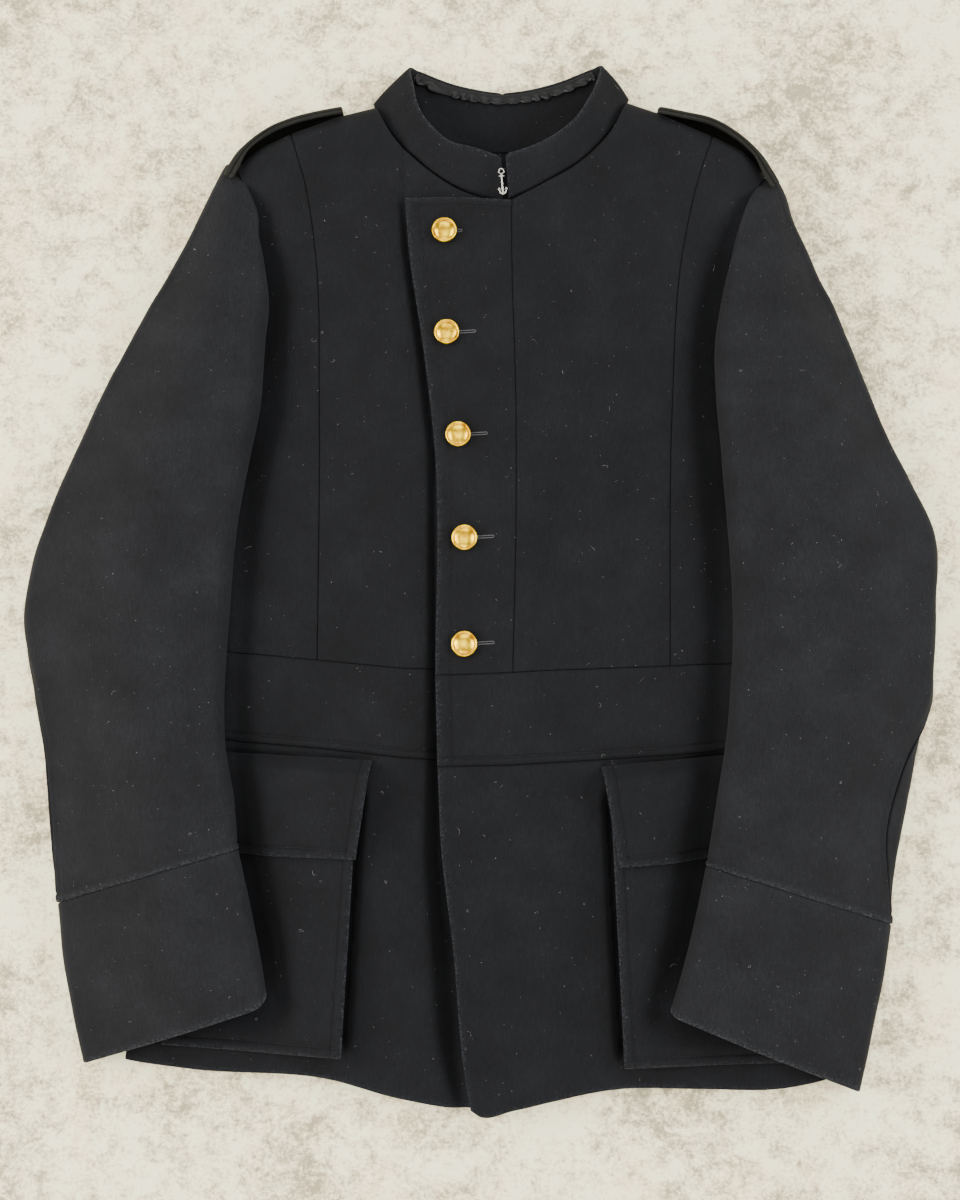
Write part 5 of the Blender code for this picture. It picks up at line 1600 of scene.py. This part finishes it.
def wool_melton(name, colour, sheen):
    """Fulled, napped and pressed wool: near black, matt, with a soft grey nap that catches side light."""
    made, tree, place = new_material(name)
    # A melton's own yarns are 0.4 mm, too fine to show from here, so the felt is drawn at 1.5 mm.
    felt = node(tree, "ShaderNodeTexNoise",
        {"Vector": place, "Scale": per_mm(1.5), "Detail": 5.0, "Roughness": 0.72})
    # Yarn lines of the twill under the nap, 1.3 mm apart and faint.
    slant = node(tree, "ShaderNodeMapping",
        {"Vector": place, "Rotation": (0, 0, math.radians(52)), "Scale": (1.0, 0.22, 1.0)})
    twill = node(tree, "ShaderNodeTexNoise", {"Vector": slant, "Scale": per_mm(1.3)})
    cloud = node(tree, "ShaderNodeTexNoise",
        {"Vector": place, "Scale": per_mm(38), "Detail": 3.0, "Roughness": 0.55})
    both = node(tree, "ShaderNodeMix", {"Factor": 0.35, "A": felt, "B": twill})
    mixed = node(tree, "ShaderNodeMix", {"Factor": 0.30, "A": both, "B": cloud})
    tint = ramp(tree, mixed, shades(colour, (0.36, 0.6), (0.50, 1.0), (0.64, 1.6)))
    # Single pale fibres felted into the surface.
    fleck = node(tree, "ShaderNodeTexVoronoi", {"Vector": place, "Scale": per_mm(7.5)})
    speck = node(tree, "ShaderNodeMath", {0: fleck, 1: 0.045}, operation="LESS_THAN")
    flecked = node(tree, "ShaderNodeMix", {"Factor": speck, "A": tint, "B": scaled(colour, 5.0)},
                   data_type="RGBA")
    # Along turned edges the colour is lightened in ragged patches: partly nap rubbed pale, partly painted
    # highlight where the rolled edges catch the light.
    edge_rub_and_highlight = node(tree, "ShaderNodeAttribute", attribute_name="wear")
    ragged = node(tree, "ShaderNodeMapRange", {"Value": felt, "From Min": 0.47, "From Max": 0.60})
    rubbed = node(tree, "ShaderNodeMath", {0: edge_rub_and_highlight.outputs["Fac"], 1: ragged}, operation="MULTIPLY")
    worn = node(tree, "ShaderNodeMix", {"Factor": rubbed, "A": flecked.outputs["Result"],
                                        "B": scaled(colour, 6.5)}, data_type="RGBA")
    rough = node(tree, "ShaderNodeMapRange", {"Value": felt, "To Min": 0.82, "To Max": 0.98})
    nap = node(tree, "ShaderNodeBump", {"Strength": 0.75, "Distance": 0.00055, "Height": both})
    return shaded(made, {"Base Color": worn.outputs["Result"], "Roughness": rough, "Normal": nap,
                         "Specular IOR Level": 0.13, "Sheen Weight": sheen, "Sheen Roughness": 0.45,
                         "Sheen Tint": scaled(linear("#b9bcc6"), 1.0)})


def silk_satin(colour):
    """Woven satin: dark, smooth along its folds, with broad bluish-grey highlights."""
    made, tree, place = new_material("silk satin woven")
    cloud = node(tree, "ShaderNodeTexNoise", {"Vector": place, "Scale": per_mm(9), "Detail": 3.0})
    tint = ramp(tree, cloud, shades(colour, (0.35, 0.7), (0.65, 1.5)))
    # The satin's threads are 0.1 mm, drawn at 0.7 mm so that they just break up the gloss.
    thread = node(tree, "ShaderNodeTexNoise", {"Vector": place, "Scale": per_mm(0.7)})
    gloss = node(tree, "ShaderNodeMapRange", {"Value": thread, "To Min": 0.34, "To Max": 0.50})
    bump = node(tree, "ShaderNodeBump", {"Strength": 0.3, "Distance": 0.0001, "Height": thread})
    return shaded(made, {"Base Color": tint, "Roughness": gloss, "Normal": bump,
                         "Specular IOR Level": 0.22, "Sheen Weight": 0.03, "Sheen Roughness": 0.3,
                         "Sheen Tint": scaled(linear("#c6cedd"), 1.0)})


def stamped_metal(name, bright, dark, roughness, wave):
    """Stamped and plated metal: bright, with soft waves in its reflections and dulled patches."""
    made, tree, place = new_material(name)
    tarnish = node(tree, "ShaderNodeTexNoise", {"Vector": place, "Scale": per_mm(6.0)})
    tint = ramp(tree, tarnish, ((0.35, (*dark, 1.0)), (0.58, (*bright, 1.0))))
    scratch = node(tree, "ShaderNodeTexNoise", {"Vector": place, "Scale": per_mm(0.8), "Detail": 3.0})
    rough = node(tree, "ShaderNodeMapRange",
        {"Value": scratch, "To Min": 0.75 * roughness, "To Max": 1.35 * roughness})
    dents = node(tree, "ShaderNodeTexNoise",
        {"Vector": place, "Scale": per_mm(7.0), "Detail": 1.0, "Distortion": 0.6})
    bump = node(tree, "ShaderNodeBump", {"Strength": wave, "Distance": 0.0006, "Height": dents})
    return shaded(made, {"Base Color": tint, "Metallic": 1.0, "Roughness": rough, "Normal": bump})


def spun_thread(name, colour, roughness=0.7):
    """Twisted thread: each ply catches a little light."""
    made, tree, place = new_material(name)
    ply = node(tree, "ShaderNodeTexNoise", {"Vector": place, "Scale": per_mm(0.8), "Detail": 3.0})
    tint = ramp(tree, ply, shades(colour, (0.3, 0.6), (0.7, 1.35)))
    bump = node(tree, "ShaderNodeBump", {"Strength": 0.4, "Distance": 0.0001, "Height": ply})
    return shaded(made, {"Base Color": tint, "Normal": bump, "Roughness": roughness,
                         "Specular IOR Level": 0.2})


def pale_floor(colour):
    """Trowelled screed: pale warm grey, clouded, with small rubbed patches and fine grit."""
    made, tree, place = new_material("screed trowelled")
    cloud = node(tree, "ShaderNodeTexNoise",
        {"Vector": place, "Scale": per_mm(110), "Detail": 6.0, "Roughness": 0.62})
    patches = node(tree, "ShaderNodeTexNoise",
        {"Vector": place, "Scale": per_mm(16), "Detail": 8.0, "Roughness": 0.74, "Distortion": 0.4})
    mixed = node(tree, "ShaderNodeMix", {"Factor": 0.55, "A": cloud, "B": patches})
    speckle = node(tree, "ShaderNodeTexNoise",
        {"Vector": place, "Scale": per_mm(3.2), "Detail": 4.0, "Roughness": 0.8})
    level = node(tree, "ShaderNodeMix", {"Factor": 0.3, "A": mixed, "B": speckle})
    tint = ramp(tree, level, shades(colour, (0.43, 0.34), (0.468, 0.63), (0.503, 0.89), (0.54, 1.12)))
    # Here and there the screed has dried rosy.
    blush = node(tree, "ShaderNodeTexNoise", {"Vector": place, "Scale": per_mm(45), "Detail": 4.0})
    rosy = ramp(tree, blush, ((0.50, (1.0, 1.0, 1.0, 1.0)), (0.64, (1.0, 0.93, 0.91, 1.0))))
    stained = node(tree, "ShaderNodeMix", {"Factor": 1.0, "A": tint, "B": rosy}, data_type="RGBA",
                   blend_type="MULTIPLY")
    grit = node(tree, "ShaderNodeTexNoise", {"Vector": place, "Scale": per_mm(2.5), "Detail": 3.0})
    bump = node(tree, "ShaderNodeBump", {"Strength": 0.15, "Distance": 0.0004, "Height": grit})
    return shaded(made, {"Base Color": stained.outputs["Result"], "Normal": bump, "Roughness": 0.75})


# ---------------- sizes and colours
def colour_setting(name, description, default):
    return bpy.props.FloatVectorProperty(name=name, description=description, default=linear(default),
                                         size=3, subtype="COLOR", min=0.0, max=1.0)


def amount(name, description, default, unit="LENGTH", **limits):
    return bpy.props.FloatProperty(name=name, description=description, default=default, unit=unit,
                                   precision=4, **limits)


class JacketCloth(bpy.types.PropertyGroup):
    """The wool: its thickness and colours."""

    wall: amount("Cloth thickness", "Melton and its lining together", 2.5 * MM, min=1 * MM, max=3 * MM)
    collar_wall: amount("Collar thickness", "Stiffened stand collar", 3.0 * MM, min=2 * MM, max=4 * MM)
    body_colour: colour_setting("Body wool", "Colour of the fronts, back, skirts and collar", "#101114")
    # The sleeve wool is the body's melton painted lighter: painted light for the brighter light the sleeves
    # catch, not a different length of cloth.
    sleeve_colour: colour_setting("Sleeve wool", "Colour of the sleeves, cut from another length", "#16171a")
    # The strap wool is the body's melton painted lighter: painted highlight for the light that the strap's
    # upturned rim catches.
    strap_colour: colour_setting("Strap wool", "Colour of the shoulder straps", "#1d1d1a")
    nap: bpy.props.FloatProperty(name="Nap", description="How much of the raised nap catches side light",
                                 default=0.04, min=0.0, max=1.0, subtype="FACTOR")


class JacketTrim(bpy.types.PropertyGroup):
    """Satin, threads and metal."""

    satin_colour: colour_setting("Satin", "Colour of the gathered collar lining", "#050609")
    gilt_bright: colour_setting("Gilt, polished", "Buttons where they are polished", "#f4cc06")
    gilt_dull: colour_setting("Gilt, dulled", "Buttons where they have dulled", "#c08e05")
    nickel: colour_setting("Nickel plate", "Colour of the collar clasp", "#abaaa6")
    stitch_colour: colour_setting("Stitching", "Colour of the topstitching", "#151516")
    # The twist is black silk: this grey is painted highlight, for the light that its purled ridges catch.
    twist_colour: colour_setting("Buttonhole twist", "Colour of the worked buttonholes", "#48484c")
    lint_colour: colour_setting("Lint", "Colour of the fibres lying on the wool", "#868689")


class JacketStage(bpy.types.PropertyGroup):
    """Floor, lights and camera."""

    floor_colour: colour_setting("Floor", "Pale screed under the jacket", "#fff3ca")
    floor_size: amount("Floor size", "Side of the square floor", 6.0, min=2.0)
    overhead_power: amount("Overhead light", "Power of the large soft light above", 36.5, "POWER", min=0.0)
    side_power: amount("Side lights", "Power of the left one, which sets the others", 78.0, "POWER", min=0.0)
    camera_height: amount("Camera height", "Height of the camera above the floor", 1.1694, min=0.3)
    camera_tip: amount("Camera tip", "How far the camera looks up the jacket from straight down",
                       math.radians(6.8), "ROTATION")


# ---------------- one operator for each kind of piece
melton_objects = []
FIRST, REST = slice(None, -1), slice(1, None)


def lay(made, stands_for, kind="body", name=None, slot="melton", material=None, wall=None,
        shells=None, wear=None):
    """Build a cloth piece, hide the model node that it stands for, and keep melton pieces to lay small things
    on.
    """
    cloth = bpy.context.scene.jacket_cloth
    if shells is None:
        shells, wear = [made.walls(wall or cloth.wall / MM)], made.wear()
    piece = mesh_from(name or "cloth_" + stands_for, *joined(shells), material or wool(kind), wear)
    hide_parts(stands_for)
    if slot == "melton":
        melton_objects.append(piece)


def trim_piece(name, shape, material, stands_for=None):
    """Build a small part or a group of threads."""
    made = mesh_from(name, *shape, material)
    if stands_for:
        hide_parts(stands_for)


def wool(kind):
    """The melton of one kind of piece: body, sleeve or strap. The sleeve and strap copies are the body's
    melton painted lighter, as painted light for the light that falls on them.
    """
    cloth = bpy.context.scene.jacket_cloth
    name = "wool melton fulled " + kind
    return bpy.data.materials.get(name) or wool_melton(name, getattr(cloth, kind + "_colour"), cloth.nap)


class JACKET_OT_back(bpy.types.Operator):
    """Lay the back: bodice, waistband and skirt, face down on the ground."""

    bl_idname = "jacket.back"
    bl_label = "Back"

    def execute(self, context):
        for part in ("bodice", "waistband", "skirt"):
            lay(back_piece(part), "back_" + part)
        return {"FINISHED"}


class JACKET_OT_fronts(bpy.types.Operator):
    """Lay the fronts: side and centre panels, and the placket that carries the buttonholes."""

    bl_idname = "jacket.fronts"
    bl_label = "Fronts"

    def execute(self, context):
        for side in PAIR:
            lay(front_side(side), "front_" + side + "_side")
        lay(front_right_centre(), "front_right_centre")
        lay(front_left_centre(), "front_left_centre")
        lay(front_left_placket(), "front_left_placket")
        return {"FINISHED"}


class JACKET_OT_waistbands(bpy.types.Operator):
    """Lay the two front waistbands."""

    bl_idname = "jacket.waistbands"
    bl_label = "Waistbands"

    def execute(self, context):
        lay(waistband("right"), "waistband_right")
        lay(waistband("left"), "waistband_left")
        return {"FINISHED"}


class JACKET_OT_skirts(bpy.types.Operator):
    """Lay the two front skirts."""

    bl_idname = "jacket.skirts"
    bl_label = "Skirts"

    def execute(self, context):
        lay(skirt("right"), "skirt_right")
        lay(skirt("left"), "skirt_left")
        return {"FINISHED"}


class JACKET_OT_pockets(bpy.types.Operator):
    """Lay the bellows pockets and their flaps."""

    bl_idname = "jacket.pockets"
    bl_label = "Pockets and flaps"

    def execute(self, context):
        for side in PAIR:
            slab, shells = pocket(side)
            wear = np.concatenate((slab.wear(), np.zeros(len(shells[1][0]))))
            lay(slab, "pocket_" + side, shells=shells, wear=wear)
            lay(flap(side), "flap_" + side)
        return {"FINISHED"}


class JACKET_OT_sleeves(bpy.types.Operator):
    """Lay the two-piece sleeves and their turned cuffs."""

    bl_idname = "jacket.sleeves"
    bl_label = "Sleeves and cuffs"

    def execute(self, context):
        for side in PAIR:
            sleeve = "sleeve_" + side
            lay(sleeve_piece(side, "under"), sleeve + "_under", "sleeve")
            lay(sleeve_piece(side, "top"), sleeve + "_top", "sleeve")
            lay(cuff_piece(side), "cuff_" + side, "sleeve")
        return {"FINISHED"}


class JACKET_OT_collar(bpy.types.Operator):
    """Set the stand collar and the gathered satin inside its back."""

    bl_idname = "jacket.collar"
    bl_label = "Collar"

    def execute(self, context):
        scene = context.scene
        lay(collar(), "collar_band", name="cloth_collar",
            wall=scene.jacket_cloth.collar_wall / MM)
        lay(satin_ruffle(), "collar_satin", name="satin_ruffle", slot="satin",
            material=silk_satin(scene.jacket_trim.satin_colour), wall=SATIN_SHEET)
        return {"FINISHED"}


class JACKET_OT_straps(bpy.types.Operator):
    """Set the shoulder straps, two layers each."""

    bl_idname = "jacket.straps"
    bl_label = "Shoulder straps"

    def execute(self, context):
        for side in PAIR:
            layer, shells = strap_layers(side)
            lay(layer, "epaulette_" + side, "strap", "cloth_strap_" + side,
                shells=shells)
        return {"FINISHED"}


class JACKET_OT_buttons(bpy.types.Operator):
    """Turn the five gilt buttons and work their buttonholes."""

    bl_idname = "jacket.buttons"
    bl_label = "Buttons and buttonholes"

    def execute(self, context):
        trim = context.scene.jacket_trim
        gilt = stamped_metal("gilt brass stamped", trim.gilt_bright, trim.gilt_dull, 0.30, 0.5)
        points, faces = lathe(button_profile(), 96)
        surface = Surface(melton_objects)
        edges = []
        slits = []
        for number, (x, y) in enumerate(BUTTONS, start=1):
            place = np.array((x, y, float(over_height(x, y)) + SEAM_GAP))
            name = "button_" + str(number)
            trim_piece("gilt_" + name, (points + place, faces), gilt, name)
            edge_paths, slit = buttonhole(surface, x, y, BUTTONHOLE_REACH[number - 1])
            edges += edge_paths
            slits.append(slit)
        purls = 0.42 + 0.14 * np.sin(np.arange(len(slits[0])) * 2.6)
        purls[[0, -1]] = 0.1
        # The purled edges are given the grey of painted highlight; the thread itself is black.
        trim_piece("buttonhole_twist", tubes(edges, purls),
                   spun_thread("buttonhole twist silk", trim.twist_colour))
        # A near-black strip of painted shade lies along each slit, standing for the shadow inside the cut.
        trim_piece("buttonhole_slit", tubes(slits, 0.6, sides=4, flat=0.12),
                   spun_thread("slit shadow wool", linear("#08080a")))
        return {"FINISHED"}


class JACKET_OT_clasp(bpy.types.Operator):
    """Set the small hook clasp at the collar."""

    bl_idname = "jacket.clasp"
    bl_label = "Collar clasp"

    def execute(self, context):
        nickel = context.scene.jacket_trim.nickel
        plate = stamped_metal("nickel-plated steel stamped", nickel, scaled(nickel, 0.6)[:3], 0.22, 0.3)
        trim_piece("nickel_clasp", clasp_parts(), plate, "collar_clasp")
        return {"FINISHED"}


class JACKET_OT_stitching(bpy.types.Operator):
    """Sew every row of topstitching."""

    bl_idname = "jacket.stitching"
    bl_label = "Stitching"

    def execute(self, context):
        trim_piece("topstitching", stitches(stitch_lines),
                   spun_thread("sewing silk twisted", context.scene.jacket_trim.stitch_colour, 0.5))
        return {"FINISHED"}


class JACKET_OT_lint(bpy.types.Operator):
    """Scatter the pale fibres and specks that black wool picks up."""

    bl_idname = "jacket.lint"
    bl_label = "Lint"

    def execute(self, context):
        trim_piece("lint", lint(Surface(melton_objects), 7),
                   spun_thread("lint cotton", context.scene.jacket_trim.lint_colour, 0.9))
        return {"FINISHED"}


def add_light(name, place, aim, size, power, colour):
    light = bpy.data.lights.new(name, "AREA")
    light.shape = "RECTANGLE"
    light.size, light.size_y = size
    light.energy = power
    light.color = linear(colour)
    made = add_object(name, light)
    made.location = place
    made.rotation_euler = (Vector(aim) - Vector(place)).to_track_quat("-Z", "Y").to_euler()


class JACKET_OT_stage(bpy.types.Operator):
    """Lay the floor, hang the soft lights and set the camera."""

    bl_idname = "jacket.stage"
    bl_label = "Stage"

    def execute(self, context):
        stage = context.scene.jacket_stage
        half = 0.5 * stage.floor_size
        mesh = bpy.data.meshes.new("floor")
        mesh.from_pydata([(-half, -half, 0), (half, -half, 0), (half, half, 0), (-half, half, 0)], [],
                         [(0, 1, 2, 3)])
        mesh.materials.append(pale_floor(stage.floor_colour))
        add_object("floor", mesh)
        power = stage.side_power
        add_light("overhead", (-0.1, 0.0, 2.4), (0, 0, 0), (2.0, 1.8), stage.overhead_power, "#fffdf6")
        add_light("right window", (1.85, 0.1, 1.05), (0, 0, 0), (1.6, 1.3), 0.85 * power, "#fffdf8")
        add_light("left window", (-1.85, 0.0, 1.05), (0, 0, 0), (1.6, 1.3), power, "#fffaf0")
        add_light("far window", (0.0, 1.95, 1.4), (0, 0.1, 0), (2.0, 1.2), 0.4 * power, "#fffdf8")
        add_light("near window", (-0.2, -2.1, 1.4), (0, -0.1, 0), (2.0, 1.2), 0.55 * power, "#fffbf2")
        context.scene.world = world = bpy.data.worlds.new("soft room")
        world.use_nodes = True
        background = world.node_tree.nodes["Background"].inputs
        background["Color"].default_value = scaled(linear("#efece4"), 1.0)
        background["Strength"].default_value = WORLD_STRENGTH
        camera = bpy.data.cameras.new("camera")
        camera.lens = 45.0
        camera.sensor_width = 36.0
        camera.sensor_fit = "AUTO"
        camera.clip_start = 0.01
        context.scene.camera = made = add_object("camera", camera)
        made.location = (*((ORIGIN[:2] + CAMERA_PLACE) * MM), stage.camera_height)
        made.rotation_euler = (stage.camera_tip, 0.0, 0.0)
        return {"FINISHED"}


class JACKET_PT_sidebar(bpy.types.Panel):
    """The jacket's pieces, in the order in which they are made."""

    bl_idname = "JACKET_PT_sidebar"
    bl_label = "Officer jacket"
    bl_space_type = "VIEW_3D"
    bl_region_type = "UI"
    bl_category = "Jacket"

    def draw(self, context):
        for group in (context.scene.jacket_cloth, context.scene.jacket_trim, context.scene.jacket_stage):
            box = self.layout.box()
            for name in group.bl_rna.properties.keys():
                if name not in ("rna_type", "name"):
                    box.prop(group, name)
        for made in OPERATORS:
            self.layout.operator(made.bl_idname)


OPERATORS = (JACKET_OT_back, JACKET_OT_fronts, JACKET_OT_waistbands, JACKET_OT_skirts, JACKET_OT_pockets,
             JACKET_OT_sleeves, JACKET_OT_collar, JACKET_OT_straps, JACKET_OT_buttons, JACKET_OT_clasp,
             JACKET_OT_stitching, JACKET_OT_lint, JACKET_OT_stage)
GROUPS = {"jacket_cloth": JacketCloth, "jacket_trim": JacketTrim, "jacket_stage": JacketStage}


def register():
    for made in (*GROUPS.values(), *OPERATORS, JACKET_PT_sidebar):
        bpy.utils.register_class(made)
    for name, group in GROUPS.items():
        setattr(bpy.types.Scene, name, bpy.props.PointerProperty(type=group))


def unregister():
    for name in GROUPS:
        delattr(bpy.types.Scene, name)
    for made in (JACKET_PT_sidebar, *reversed(OPERATORS), *GROUPS.values()):
        bpy.utils.unregister_class(made)


def main():
    register()
    for made in OPERATORS:
        kind, name = made.bl_idname.split(".")
        if getattr(getattr(bpy.ops, kind), name)() != {"FINISHED"}:
            raise RuntimeError(made.bl_label + " was not made")
    bpy.context.view_layer.update()


if __name__ == "__main__":
    main()
